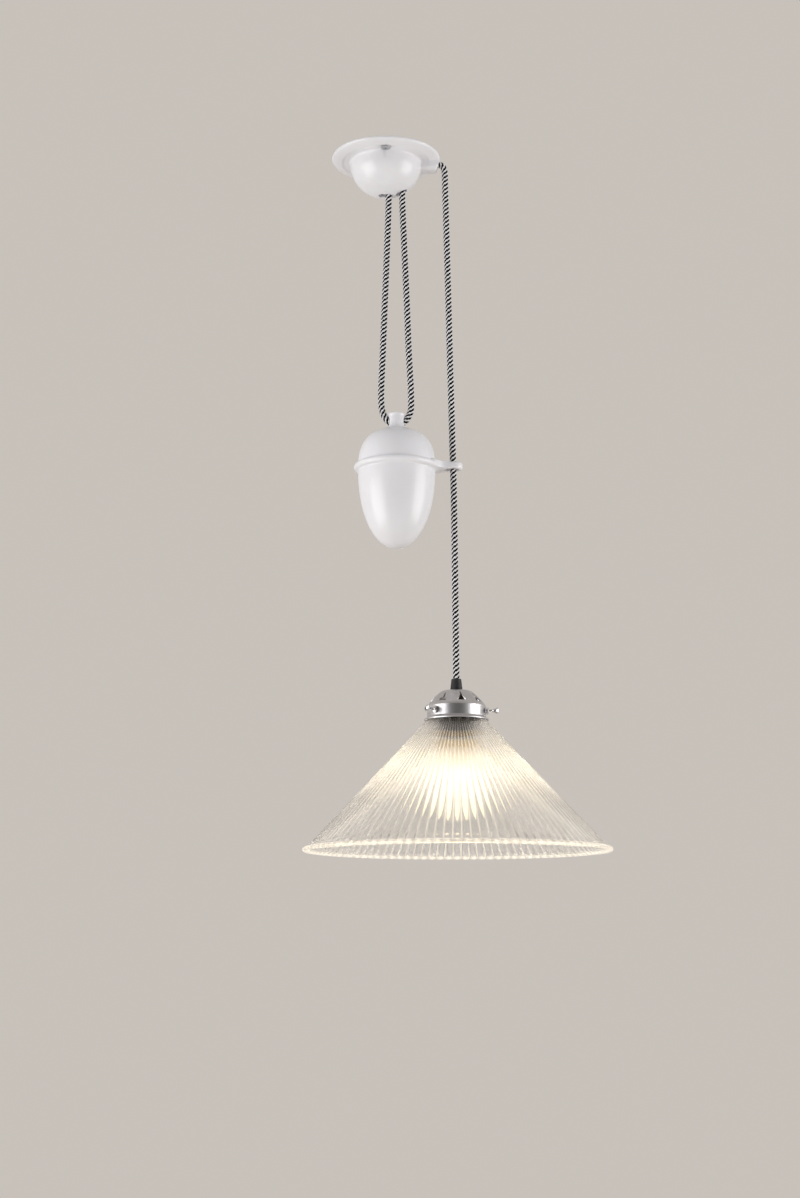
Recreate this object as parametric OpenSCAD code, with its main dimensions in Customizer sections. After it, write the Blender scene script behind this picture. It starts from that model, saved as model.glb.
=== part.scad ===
// Rise and fall pendant light: a porcelain ceiling rose with a small wheel inside it, a loop of
// flex that carries a porcelain counterweight, and a vented gallery with a ribbed glass shade.
// Millimetres, +Z up. The origin is the middle of the rose's back, on the ceiling.
// +X points to the side where the lamp hangs.

/* [Ceiling rose] */
// Diameter of the rose's plate
plate_d = 112; // [106:1:140]
// Diameter of the dome over the mechanism
dome_d = 73; // [72:0.5:88]
// Depth of the dome's lowest point below the ceiling
dome_depth = 41.7; // [41:0.1:52]
// Wall of the rose's porcelain
rose_wall = 4; // [3:0.25:4]
// Depth of the plate's flat band between the dome and the rim
plate_depth = 5; // [4.6:0.1:6.5]
// Width of the sloping rim round the plate
rim_w = 9.7; // [6:0.1:12]
// Width of the nose that the flex leaves through
nose_w = 17; // [15:0.5:22]
// Depth of the nose
nose_depth = 14.5; // [13.5:0.5:18]
// Length of the dome's slot for the fixed side of the loop
slot_left_len = 13.4; // [11:0.1:16]
// Length of the dome's slot for the running side of the loop
slot_right_len = 11.4; // [9:0.1:14]

/* [Flex] */
// Diameter of the braided flex
flex_d = 6.2; // [5:0.1:7]
// Diameter of one insulated core
core_d = 2.2; // [1.8:0.1:2.4]

/* [Mounting strap] */
// Thickness of the steel strap
strap_t = 1.5; // [1.2:0.1:2]
// Width of the strap's two arms
strap_w = 16; // [12:1:20]
// Distance between the two ceiling screws
fixing_pitch = 51; // [50:0.5:56]
// Diameter of the holes for the ceiling screws
fixing_hole_d = 4.8; // [4:0.1:6]
// Diameter of the hole for the supply cable
supply_bore_d = 7; // [6:0.1:8]

/* [Wheel in the rose] */
// Diameter of the wheel's axle
axle_d = 4; // [3:0.1:4]
// Thickness of the wheel's side walls at the rim
wheel_lip = 1; // [0.8:0.1:1.6]

/* [Counterweight] */
// Diameter of the counterweight
weight_d = 77.8; // [66:0.1:93.4]
// Height of the cap above the widest place
cap_h = 41.2; // [38:0.1:42]
// Depth of the body below the widest place
body_h = 81.5; // [68:0.5:98]
// Wall of the counterweight's porcelain
weight_wall = 4; // [3:0.25:5]
// Thickness of the round bead at the widest place
bead_d = 6.8; // [5:0.1:8]
// Diameter of the neck that the flex passes through
neck_d = 17.2; // [16:0.1:18]
// Width of the ring round the guide slot
guide_wall = 4.7; // [3.5:0.1:6]

/* [Gallery] */
// Diameter of the gallery's upright band
gallery_d = 58; // [50:0.5:70]
// Height of the gallery's upright band
band_h = 10; // [9:0.5:14]
// Thickness of the gallery's metal
gallery_t = 1.1; // [0.8:0.1:1.5]
// Number of vent holes
vent_count = 8; // [6:1:10]
// Diameter of the thumbscrews' thread
thumb_d = 3.5; // [3:0.1:4]

/* [Glass shade] */
// Diameter of the shade's rim
shade_d = 300; // [240:5:360]
// Height of the cone from the gallery's lip to the rim
shade_h = 126.6; // [100:0.1:152]
// Thickness of the glass
glass_t = 3.3; // [2.5:0.1:4]

/* [Lampholder and bulb] */
// Diameter of the lampholder
holder_d = 34.4; // [33:0.1:38]
// Width of the brass ring round the lampholder's mouth
ring_w = 2.8; // [2:0.1:4]
// Diameter of the bulb
bulb_d = 60; // [50:1:70]
// Diameter of the bulb's screw cap
bulb_cap_d = 26.2; // [25:0.1:26.4]

/* [Hidden] */
$fn = 64;
// Clearances: a threaded or pressed pair, a loose pair, and a soft piece beside its neighbour.
snug = 0.05;
loose = 0.15;
soft = 0.3;
through = 0.5;  // how far a cutter runs past the face that it cuts
steps = 20;     // straight steps in a quarter of a round outline

flex_r = flex_d / 2;
core_r = core_d / 2;
flex_sides = 10;
core_sides = 8;

// Rose
plate_r = plate_d / 2;
dome_r = dome_d / 2;
dome_equator_z = -7.8;
dome_h = dome_depth + dome_equator_z;
rim_crest_r = plate_r - rim_w;
rose_screw_d = 4;
rose_head_d = 9.4;
rose_head_h = 1.8;
rose_washer_t = 0.4;
rose_screw_y = dome_r + rose_head_d / 2 - 0.2;
spot_z = -(plate_depth - 0.5);
nose_edge_r = 5;
nose_end_x = plate_r - 0.4;
exit_z = -6.2;
exit_bore_r = flex_r + 0.7;
exit_wall = 7;
slot_w = flex_d + 2.3;
slot_right_x = 15.9;

// Strap
strap_reach = rose_screw_y + 6;
strap_wing_r = dome_r - rose_wall - 1;
supply_x = -25.5;
supply_bush_wall = 1.4;
supply_flange_r = supply_bore_d / 2 + 2.5;
supply_flange_t = 1.2;
strap_wing_w = 28;
rivet_x = -12.5;
rivet_y = 4;
rivet_r = 1.3;

// Wheel, set by the place of the running leg and of the nose's exit
wheel_pitch_r = 7.2;
run_x = 16.4;
wheel_x = run_x + wheel_pitch_r;
wheel_z = exit_z - wheel_pitch_r;
groove_r = flex_r + soft;
wheel_rim_r = wheel_pitch_r + 1;
wheel_half_w = sqrt(groove_r * groove_r - 1) + wheel_lip;
wheel_washer_t = 0.7;
ear_in_y = wheel_half_w + wheel_washer_t + 0.25;
ear_r = 6.5;
axle_r = axle_d / 2;
axle_running = 0.06;
axle_head_t = 1.6;
clip_t = 0.7;
clip_y = ear_in_y + strap_t + 0.1;

// Cord clamp on the fixed leg
clamp_x = 2.9;
slot_left_x = clamp_x + flex_r + 0.2 - slot_left_len / 2;
clamp_z = -16;
clamp_h = 7;
clamp_half_w = 10;
clamp_screw_y = 7.2;
clamp_screw_r = 1.45;
clamp_tab_x = clamp_x - flex_r - soft;
clamp_bar_x = clamp_x + 0.4;
clamp_bar_t = flex_r + 1.6;
clamp_head_t = 2;

// Terminal block
block_l = 12;
block_w = 26;
block_h = 11;
block_x = rivet_x;
block_top_z = -strap_t - 0.1;
way_pitch = 8;
way_z = -8;
barrel_r = 2.3;
barrel_bore_r = 1.4;
way_screw_r = 1.2;
way_screw_x = 3.2;

// Counterweight
weight_x = 11.2;
weight_r = weight_d / 2;
waist_z = -333;
seam_z = waist_z + 3.5;
seam_t = 0.5;
cap_power = 2.7;
body_power = 2.1;
bead_r = bead_d / 2;
bead_z = waist_z + 1.5;
bead_ring_r = weight_r + 0.7;
neck_r = neck_d / 2;
neck_top_z = -275.5;
neck_hole_z = -285.4;
neck_hole_r = flex_r + 1.3;
mouth_r = 4.6;
neck_foot_z = waist_z + cap_h - 0.4;
spigot_t = 2.7;
spigot_h = 5;
guide_hole_r = flex_r + 1;
guide_near_x = 64.1;
guide_far_x = 68.8;
guide_r = guide_hole_r + guide_wall;
arm_t = bead_d + 0.4;
arm_z = bead_z + 1.2;
ballast_gap = 1.2;
ballast_top_z = waist_z + 0.45 * (cap_h - weight_wall);
ballast_foot_z = waist_z - body_h * 0.825;
bedding_top_z = ballast_foot_z + 22;

// Lamp
lamp_x = 70;
grip_top_z = -546.2;
grip_top_r = 4.9;
grip_foot_r = 6.15;
grip_bore_r = flex_r + soft;
grip_thread_r = 4.45;
grip_step_z = -549.6;
nipple_r = 4.95;
nipple_foot_z = -566.4;
gallery_top_z = -558;
gallery_r = gallery_d / 2;
gallery_flat_r = 13;
shoulder_h = 15.6;
band_top_z = gallery_top_z - shoulder_h;
band_foot_z = band_top_z - band_h;
lip_r = gallery_r + 3;
lip_z = band_foot_z - 2.5;
thumb_z = band_top_z - 0.51 * band_h;
thumb_r = thumb_d / 2;
thumb_angles = [225, 345, 105];
vent_turn = 10;
nut_r = 8;
nut_t = 3;
nut_z = gallery_top_z - gallery_t - 0.2;

// Shade
neck_bead_z = thumb_z + thumb_r + soft;
shade_bead_r = gallery_r - gallery_t - 1.3;
shade_neck_r = shade_bead_r - 1.6;
shade_bead_h = 2.9;
cone_top_r = gallery_r - 0.5;
cone_top_z = lip_z - 0.4;
shade_r = shade_d / 2;
shade_rim_z = cone_top_z - shade_h;
shade_rim_r = glass_t / 2 + 0.45;

// Lampholder
holder_r = holder_d / 2;
holder_cap_t = 1.2;
holder_top_z = nut_z - nut_t - 0.2;
holder_dome_z = holder_top_z - 4;
holder_split_z = holder_dome_z - 17.5;
holder_in_r = bulb_cap_d / 2 + 0.8;
holder_spigot_r = holder_r - holder_cap_t - snug;
holder_spigot_h = 7;
holder_foot_z = -613;
base_top_z = holder_split_z + holder_spigot_h + 4;
base_seat_z = holder_split_z + holder_spigot_h;
base_foot_z = holder_split_z - 2;
post_r = 2.2;
post_x = 8;
post_h = 3.4;
shell_t = 0.4;
shell_r = holder_in_r - 0.15;
shell_foot_z = -606;
ring_top_z = -607.6;
ring_h = 7.9;
ring_r = holder_r + ring_w;
ring_hole_r = bulb_cap_d / 2 + 2.4;

// Bulb
bulb_tip_z = base_foot_z - 1.7;
bulb_cap_top_z = bulb_tip_z - 3;
bulb_cap_foot_z = bulb_cap_top_z - 22;
bulb_r = bulb_d / 2;
bulb_glass_t = 0.8;
bulb_centre_z = bulb_cap_foot_z - 43;

// Middle line of the loop, from the clamp down to the counterweight's neck and up to the wheel.
loop_line = [
    [2.9, 0, -11.3], [2.9, 0, -20], [2.8, 0, -38], [2.4, 0, -62], [0.7, 0, -111],
    [-1.1, 0, -160], [-2.9, 0, -208], [-4.3, 0, -243], [-4.6, 0, -256], [-4.4, 0, -264],
    [-3.8, 0, -270], [-2.6, 0, -274.6], [-0.8, 0, -278.6], [1.9, 0, -282.4], [5.2, 0, -284.9],
    [8.2, 0, -285.7], [11.2, 0, -285.8], [14.2, 0, -285.7], [17.1, 0, -284.9], [20.4, 0, -282.4],
    [23, 0, -278.6], [24.7, 0, -274.6], [25.6, 0, -270], [25.8, 0, -264], [25.7, 0, -256],
    [25.3, 0, -243], [23.4, 0, -208], [21.6, 0, -160], [19.5, 0, -111], [17.4, 0, -62],
    [16.8, 0, -40], [16.4, 0, -24], [16.4, 0, -13.4]];
// Middle line of the drop, from inside the nose, through the guide slot, to the grip.
drop_line = [
    [49, 0, -6.2], [53.4, 0, -6.2], [56.7, 0, -7.1], [59.2, 0, -9.4], [60.6, 0, -13],
    [61, 0, -18], [61.1, 0, -30], [61.9, 0, -78], [62.9, 0, -126], [64.1, 0, -176],
    [65.2, 0, -224], [66.4, 0, -271], [67.7, 0, -318], [68.1, 0, -335], [68.6, 0, -365],
    [69.2, 0, -426], [69.6, 0, -487], [69.9, 0, -532], [70, 0, -545.8]];
// Middle lines of the cores in the rose: live on the -Y side, neutral in the middle.
live_line = [
    [2.9, -1.6, -11], [2.7, -1.8, -8.4], [1.2, -2.2, -6.2], [-1.4, -3.1, -5.6],
    [-3.6, -5.4, -6.2], [-5.2, -7.6, -7.6], [-6.4, -8, -8], [-8.4, -8, -8]];
neutral_line = [
    [4.6, 0, -11], [4.2, 0, -7.4], [1.8, 0, -4.8], [-1.2, 0, -4.4],
    [-3.8, 0, -6.2], [-6.4, 0, -8], [-8.4, 0, -8]];
// Middle lines of the cores in the lampholder, from the middle of the lamp.
lamp_live_line = [[-1.4, -0.8, -566.2], [-1.5, -0.8, -567.4], [-2.6, -0.5, -569.6],
    [-4.4, 0, -570.9], [-5.6, 0, -571.2]];
lamp_earth_line = [[0, 1.6, -566.2], [0, 1.8, -567.4], [0, 3.2, -569], [0, 5, -569.6],
    [0, 6.4, -569.7]];

// ---- Outlines ----

function arc(x, z, r, from, to, n = steps) =
    [for (i = [0:n]) let (a = from + (to - from) * i / n) [x + r * cos(a), z + r * sin(a)]];

// A quarter of an oval with its widest place at height z: from the side (0) to the pole (90).
function oval(r, h, z, power = 2, n = steps, from = 0, to = 90) =
    [for (i = [0:n]) let (a = from + (to - from) * i / n)
        [r * pow(cos(a), 2 / power), z + h * pow(sin(a), 2 / power)]];

function reversed(p) = [for (i = [len(p) - 1:-1:0]) p[i]];

function unit2(v) = v / norm(v);

// The right-hand side of a line of points, t away.
function beside(p, t) = [for (i = [0:len(p) - 1])
    let (before = unit2(p[max(i, 1)] - p[max(i, 1) - 1]),
         after = unit2(p[min(i + 1, len(p) - 1)] - p[min(i + 1, len(p) - 1) - 1]),
         mid = unit2(before + after),
         grow = 1 / max(0.5, mid * before))
    p[i] + t * grow * [mid[1], -mid[0]]];

// A spun or pressed wall of even thickness: the outline, and the same line t inside it.
module spun(p, t) {
    rotate_extrude() polygon(concat(p, reversed(beside(p, t))));
}

// A slot through the X-Y plane: a square and two round ends.
module slot2d(len, w) {
    square([len - w, w], center = true);
    for (s = [-1, 1]) translate([s * (len - w) / 2, 0]) circle(d = w);
}

// A tube along Z with its own bore.
module ring(z0, z1, r_out, r_in) {
    translate([0, 0, min(z0, z1)]) difference() {
        cylinder(h = abs(z1 - z0), r = r_out);
        translate([0, 0, -through]) cylinder(h = abs(z1 - z0) + 2 * through, r = r_in);
    }
}

module rod(z0, z1, r) {
    translate([0, 0, min(z0, z1)]) cylinder(h = abs(z1 - z0), r = r);
}

module at_lamp() {
    translate([lamp_x, 0, 0]) children();
}

module at_weight() {
    translate([weight_x, 0, 0]) children();
}

// ---- Swept tubes ----

// A point on the smooth curve through the points p, at share t after point i.
function curve_at(p, i, t) =
    let (a = p[max(i - 1, 0)], b = p[i], c = p[min(i + 1, len(p) - 1)], d = p[min(i + 2, len(p) - 1)])
    0.5 * (2 * b + (c - a) * t + (2 * a - 5 * b + 4 * c - d) * t * t
        + (3 * b - a - 3 * c + d) * t * t * t);

// The curve with a ring at least every `most` along it.
function curved(p, most) = concat(
    [for (i = [0:len(p) - 2]) let (n = max(1, ceil(norm(p[i + 1] - p[i]) / most)))
        for (k = [0:n - 1]) curve_at(p, i, k / n)],
    [p[len(p) - 1]]);

function heading(p, i) =
    let (v = p[min(i + 1, len(p) - 1)] - p[max(i - 1, 0)]) v / norm(v);

// A ring of `sides` points round line point i. side is across the line and stays level.
function ring_at(p, i, r, sides) =
    let (h = heading(p, i), flat = cross(h, [0, 1, 0]),
         u = flat / norm(flat), v = cross(h, u))
    [for (k = [0:sides - 1]) let (a = 360 * k / sides) p[i] + r * (cos(a) * u + sin(a) * v)];

module swept(p, r, sides) {
    n = len(p);
    points = [for (i = [0:n - 1]) for (q = ring_at(p, i, r, sides)) q];
    walls = [for (i = [0:n - 2]) for (k = [0:sides - 1])
        let (a = i * sides + k, b = i * sides + (k + 1) % sides)
        [a, b, b + sides, a + sides]];
    ends = [[for (k = [sides - 1:-1:0]) k], [for (k = [0:sides - 1]) (n - 1) * sides + k]];
    polyhedron(points = points, faces = concat(walls, ends), convexity = 6);
}

// ---- Ceiling rose ----

module rose_outline() {
    outer = concat(
        [[plate_r, 0], [plate_r, -1], [plate_r - 0.4, -2.1], [plate_r - 1.3, -3],
         [plate_r - 3, -plate_depth + 1.2], [plate_r - 5.5, -plate_depth + 0.4],
         [plate_r - 8, -plate_depth - 0.05], [rim_crest_r + 0.8, -plate_depth - 0.35],
         [rim_crest_r - 0.2, -plate_depth - 0.5], [rim_crest_r - 1.2, -plate_depth - 0.35],
         [rim_crest_r - 2, -plate_depth]],
        arc(dome_r + 2, dome_equator_z + 0.8, plate_depth + dome_equator_z < 0
            ? -dome_equator_z - 0.8 - plate_depth : 1, 90, 180, 6),
        [for (q = oval(dome_r, -dome_h, dome_equator_z)) q]);
    inner = oval(dome_r - rose_wall, -(dome_h - rose_wall), dome_equator_z);
    polygon(concat(outer, reversed(inner), [[dome_r - rose_wall, 0]]));
}

module nose_solid() {
    side = [[0, 0], [nose_end_x, 0], [nose_end_x, -1.5], [nose_end_x - 1, -8],
        [nose_end_x - 2.2, -nose_depth + 3], [nose_end_x - 3.4, -nose_depth + 1],
        [nose_end_x - 5.2, -nose_depth], [0, -nose_depth]];
    intersection() {
        translate([0, nose_w / 2, 0]) rotate([90, 0, 0]) linear_extrude(nose_w) polygon(side);
        rotate([90, 0, 90]) linear_extrude(plate_r) {
            translate([-nose_w / 2, -nose_depth + nose_edge_r])
                square([nose_w, nose_depth - nose_edge_r]);
            translate([-nose_w / 2 + nose_edge_r, -nose_depth])
                square([nose_w - 2 * nose_edge_r, nose_depth]);
            for (s = [-1, 1])
                translate([s * (nose_w / 2 - nose_edge_r), -nose_depth + nose_edge_r])
                    circle(r = nose_edge_r);
        }
    }
}

module nose_hollow() {
    channel_end = nose_end_x - exit_wall;
    channel_w = flex_d + 2.6;
    // A shallow relief where the wheel comes close to the dome's wall
    translate([wheel_x, 0, wheel_z]) rotate([90, 0, 0])
        cylinder(h = 2 * wheel_half_w + 1, r = wheel_rim_r + 0.5, center = true);
    translate([dome_r - rose_wall - 6, -channel_w / 2, exit_z - exit_bore_r - 0.6])
        cube([channel_end - dome_r + rose_wall + 6, channel_w, -exit_z + exit_bore_r + 0.6 + through]);
    translate([channel_end - through, 0, exit_z]) rotate([0, 90, 0])
        cylinder(h = exit_wall + 2 * through, r = exit_bore_r);
    // The mouth is rounded, because the flex runs over its edge.
    mouth = 2.2;
    translate([nose_end_x - mouth, 0, exit_z]) rotate([0, 90, 0])
        rotate_extrude() polygon(concat(
            [[0, 0]],
            [for (i = [0:8]) let (a = 90 * i / 8)
                [exit_bore_r + mouth * (1 - cos(a)), mouth * sin(a)]],
            [[exit_bore_r + mouth, mouth + through], [0, mouth + through]]));
}

module ceiling_rose() {
    color("white") difference() {
        union() {
            rotate_extrude() rose_outline();
            difference() {
                nose_solid();
                // The nose begins in the middle of the dome's wall.
                rotate_extrude() polygon(concat([[0, through], [dome_r - rose_wall / 2, through]],
                    oval(dome_r - rose_wall / 2, -(dome_h - rose_wall / 2), dome_equator_z)));
            }
        }
        nose_hollow();
        for (s = [[slot_left_x, slot_left_len], [slot_right_x, slot_right_len]])
            translate([s[0], 0, -dome_depth - 1]) linear_extrude(20) slot2d(s[1], slot_w);
        for (s = [-1, 1]) translate([0, s * rose_screw_y, 0]) {
            rod(-plate_depth - 8, through, rose_screw_d / 2 + loose);
            rod(spot_z - 10, spot_z, rose_head_d / 2 + 0.6);
        }
        translate([-strap_w / 2 - loose, -strap_reach - loose, -strap_t - 0.1])
            cube([strap_w + 2 * loose, 2 * (strap_reach + loose), strap_t + 0.1 + through]);
    }
}

module rose_screws() {
    color("silver") for (s = [-1, 1]) translate([0, s * rose_screw_y, 0]) difference() {
        union() {
            rod(spot_z - rose_washer_t - rose_head_h, spot_z - rose_washer_t, rose_head_d / 2);
            rod(spot_z - rose_washer_t, -0.1, rose_screw_d / 2 - snug);
        }
        for (a = [0, 90]) rotate([0, 0, a])
            translate([-2.6, -0.5, spot_z - rose_washer_t - rose_head_h - through])
                cube([5.2, 1, 1 + through]);
    }
}

module screw_washers() {
    color("dimgray") for (s = [-1, 1]) translate([0, s * rose_screw_y, 0])
        ring(spot_z, spot_z - rose_washer_t + 0.02, rose_head_d / 2 - 0.3, rose_screw_d / 2 + snug);
}

// ---- Mounting strap: the arms, a wing each side, two ears for the wheel, a tab for the clamp ----

module strap_plan() {
    square([strap_w, 2 * strap_reach], center = true);
    intersection() {
        circle(r = strap_wing_r);
        union() {
            translate([-strap_wing_r, -strap_wing_w / 2]) square([strap_wing_r, strap_wing_w]);
            translate([0, -ear_in_y - strap_t]) square([wheel_x + ear_r, 2 * (ear_in_y + strap_t)]);
        }
    }
}

module mounting_strap() {
    color("lightsteelblue") difference() {
        union() {
            translate([0, 0, -strap_t]) linear_extrude(strap_t) strap_plan();
            for (s = [-1, 1]) translate([0, s * (ear_in_y + strap_t / 2), 0])
                rotate([90, 0, 0]) linear_extrude(strap_t, center = true) {
                    translate([wheel_x - ear_r, wheel_z]) square([2 * ear_r, -wheel_z - strap_t / 2]);
                    translate([wheel_x, wheel_z]) circle(r = ear_r);
                }
            translate([clamp_tab_x - strap_t, -clamp_half_w, clamp_z - clamp_h / 2 - 2])
                cube([strap_t, 2 * clamp_half_w, -clamp_z + clamp_h / 2 + 2 - strap_t / 2]);
        }
        for (s = [-1, 1]) {
            translate([0, s * fixing_pitch / 2, 0]) rod(-strap_t - 1, 1, fixing_hole_d / 2);
            translate([0, s * rose_screw_y, 0]) rod(-strap_t - 1, 1, rose_screw_d / 2);
            translate([rivet_x, s * rivet_y, 0]) rod(-strap_t - 1, 1, rivet_r + snug);
            translate([clamp_tab_x, s * clamp_screw_y, clamp_z]) rotate([0, 90, 0])
                rod(-strap_t - 1, 1, clamp_screw_r + snug);
        }
        translate([supply_x, 0, 0]) rod(-strap_t - 1, 1, supply_bore_d / 2 + supply_bush_wall);
        translate([wheel_x, 0, wheel_z]) rotate([90, 0, 0])
            cylinder(h = 4 * ear_in_y, r = axle_r + snug, center = true);
        // Window for the cores
        translate([clamp_tab_x - strap_t - through, -6.5, -11])
            cube([strap_t + 2 * through, 13, 8.5]);
    }
}

module supply_bush() {
    color("dimgray") translate([supply_x, 0, 0]) difference() {
        union() {
            rod(-strap_t - 0.1, 0, supply_bore_d / 2 + supply_bush_wall - snug);
            rod(-strap_t - 0.1 - supply_flange_t, -strap_t - 0.1, supply_flange_r);
        }
        rod(-strap_t - supply_flange_t - 1, 1, supply_bore_d / 2);
    }
}

// ---- Wheel ----

module along_y() {
    translate([wheel_x, 0, wheel_z]) rotate([-90, 0, 0]) children();
}

module ceiling_wheel() {
    color("ivory") along_y() rotate_extrude() difference() {
        translate([axle_r + axle_running, -wheel_half_w])
            square([wheel_rim_r - axle_r - axle_running, 2 * wheel_half_w]);
        translate([wheel_pitch_r, 0]) circle(r = groove_r);
    }
}

module wheel_axle() {
    color("silver") along_y() difference() {
        union() {
            rod(-ear_in_y - strap_t - 0.1, clip_y + clip_t + 1, axle_r);
            rod(-ear_in_y - strap_t - 0.1 - axle_head_t, -ear_in_y - strap_t - 0.1, axle_r + 1.5);
        }
        ring(clip_y - snug, clip_y + clip_t + snug, axle_r + 1, axle_r - 0.5);
    }
}

module axle_clip() {
    color("gray") along_y() difference() {
        ring(clip_y, clip_y + clip_t, axle_r + 1.4, axle_r - 0.5 + snug);
        translate([-0.9, 0, clip_y - 1]) cube([1.8, axle_r + 3, clip_t + 2]);
    }
}

module wheel_washers() {
    color("goldenrod") along_y() for (s = [-1, 1])
        ring(s * (wheel_half_w + 0.1), s * (wheel_half_w + 0.1 + wheel_washer_t),
            axle_r + 1.5, axle_r + axle_running);
}

// ---- Cord clamp and terminals ----

module clamp_bar() {
    color("silver") difference() {
        translate([clamp_bar_x, -clamp_half_w, clamp_z - clamp_h / 2])
            cube([clamp_bar_t, 2 * clamp_half_w, clamp_h]);
        translate([clamp_x, 0, 0]) rod(clamp_z - clamp_h, clamp_z + clamp_h, flex_r + soft);
        for (s = [-1, 1]) translate([clamp_bar_x, s * clamp_screw_y, clamp_z]) rotate([0, 90, 0])
            rod(-1, clamp_bar_t + 1, clamp_screw_r + loose);
    }
}

module clamp_screws() {
    head_x = clamp_bar_x + clamp_bar_t + snug;
    color("gray") for (s = [-1, 1]) translate([head_x, s * clamp_screw_y, clamp_z]) rotate([0, 90, 0])
        difference() {
            union() {
                rod(0, clamp_head_t, 2.7);
                rod(clamp_tab_x - strap_t - 1.5 - head_x, 0, clamp_screw_r);
            }
            translate([-3, -0.4, clamp_head_t - 0.9]) cube([6, 0.8, 2]);
        }
}

module in_each_way() {
    for (y = [-way_pitch, 0, way_pitch]) translate([block_x, y, way_z]) children();
}

module terminal_block() {
    color("white") difference() {
        translate([block_x - block_l / 2, -block_w / 2, block_top_z - block_h])
            cube([block_l, block_w, block_h]);
        in_each_way() {
            rotate([0, 90, 0]) rod(-block_l, block_l, barrel_r + snug);
            for (s = [-1, 1]) translate([s * way_screw_x, 0, 0]) rod(-block_h, 0, way_screw_r + 0.8);
        }
        for (s = [-1, 1]) translate([rivet_x, s * rivet_y, 0]) {
            rod(-block_h - 5, 1, rivet_r + loose);
            rod(-block_h - 5, block_top_z - block_h + 1.6, rivet_r + 1);
        }
    }
}

module terminal_barrels() {
    color("goldenrod") in_each_way() difference() {
        rotate([0, 90, 0]) ring(-block_l / 2 + 0.8, block_l / 2 - 0.8, barrel_r, barrel_bore_r);
        for (s = [-1, 1]) translate([s * way_screw_x, 0, 0]) rod(-barrel_r - 1, 0, way_screw_r);
    }
}

module terminal_screws() {
    color("gold") in_each_way() for (s = [-1, 1]) translate([s * way_screw_x, 0, 0]) difference() {
        union() {
            rod(-barrel_r - 1.6, -barrel_r - 0.2, way_screw_r + 0.6);
            rod(-barrel_r - 0.2, -core_r - 0.2, way_screw_r - snug);
        }
        translate([-2, -0.25, -barrel_r - 2.2]) cube([4, 0.5, 1]);
    }
}

module terminal_rivets() {
    color("silver") for (s = [-1, 1]) translate([rivet_x, s * rivet_y, 0]) {
        rod(block_top_z - block_h + 0.4, block_top_z - block_h + 1.5, rivet_r + 0.8);
        rod(block_top_z - block_h + 1.5, 0, rivet_r);
    }
}

// ---- Flex and cores ----

function across(p) = [for (q = p) [q[0], -q[1], q[2]]];

function turned(p) = [for (q = p) [-q[0], q[1], q[2]]];

module rose_live_core() {
    color("saddlebrown") swept(curved(live_line, 2.5 * core_d), core_r, core_sides);
}

module rose_neutral_core() {
    color("royalblue") swept(curved(neutral_line, 2.5 * core_d), core_r, core_sides);
}

module rose_earth_core() {
    color("yellowgreen") swept(curved(across(live_line), 2.5 * core_d), core_r, core_sides);
}

module flex_loop() {
    color("slategray") swept(curved(loop_line, 2.6 * flex_d), flex_r, flex_sides);
}

module flex_over_wheel() {
    start = [run_x, 0, wheel_z + 0.05];
    over = [for (a = [165:-15:90])
        [wheel_x + wheel_pitch_r * cos(a), 0, wheel_z + wheel_pitch_r * sin(a)]];
    color("slategray") swept(concat([start, start + [0, 0, 0.4]], over,
        [[36, 0, exit_z], [48.9, 0, exit_z]]), flex_r, flex_sides);
}

module flex_drop() {
    color("slategray") swept(curved(drop_line, 2.6 * flex_d), flex_r, flex_sides);
}

module flex_tail() {
    color("slategray") at_lamp()
        swept([[0, 0, -546], [0, 0, -556], [0, 0, -566]], flex_r, flex_sides);
}

module lamp_live_core() {
    color("saddlebrown") at_lamp() swept(curved(lamp_live_line, 2.5 * core_d), core_r, core_sides);
}

module lamp_neutral_core() {
    color("royalblue") at_lamp()
        swept(curved(turned(lamp_live_line), 2.5 * core_d), core_r, core_sides);
}

module lamp_earth_core() {
    color("yellowgreen") at_lamp()
        swept(curved(lamp_earth_line, 2.5 * core_d), core_r, core_sides);
}

// ---- Counterweight ----

// Radius at height z of a body of radius r and depth h.
function body_reach(r, h, z) = r * pow(1 - pow((waist_z - z) / h, body_power), 1 / body_power);

function cap_outline(inset, n = steps) =
    oval(weight_r - inset, cap_h - inset, waist_z, cap_power, n);

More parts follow.
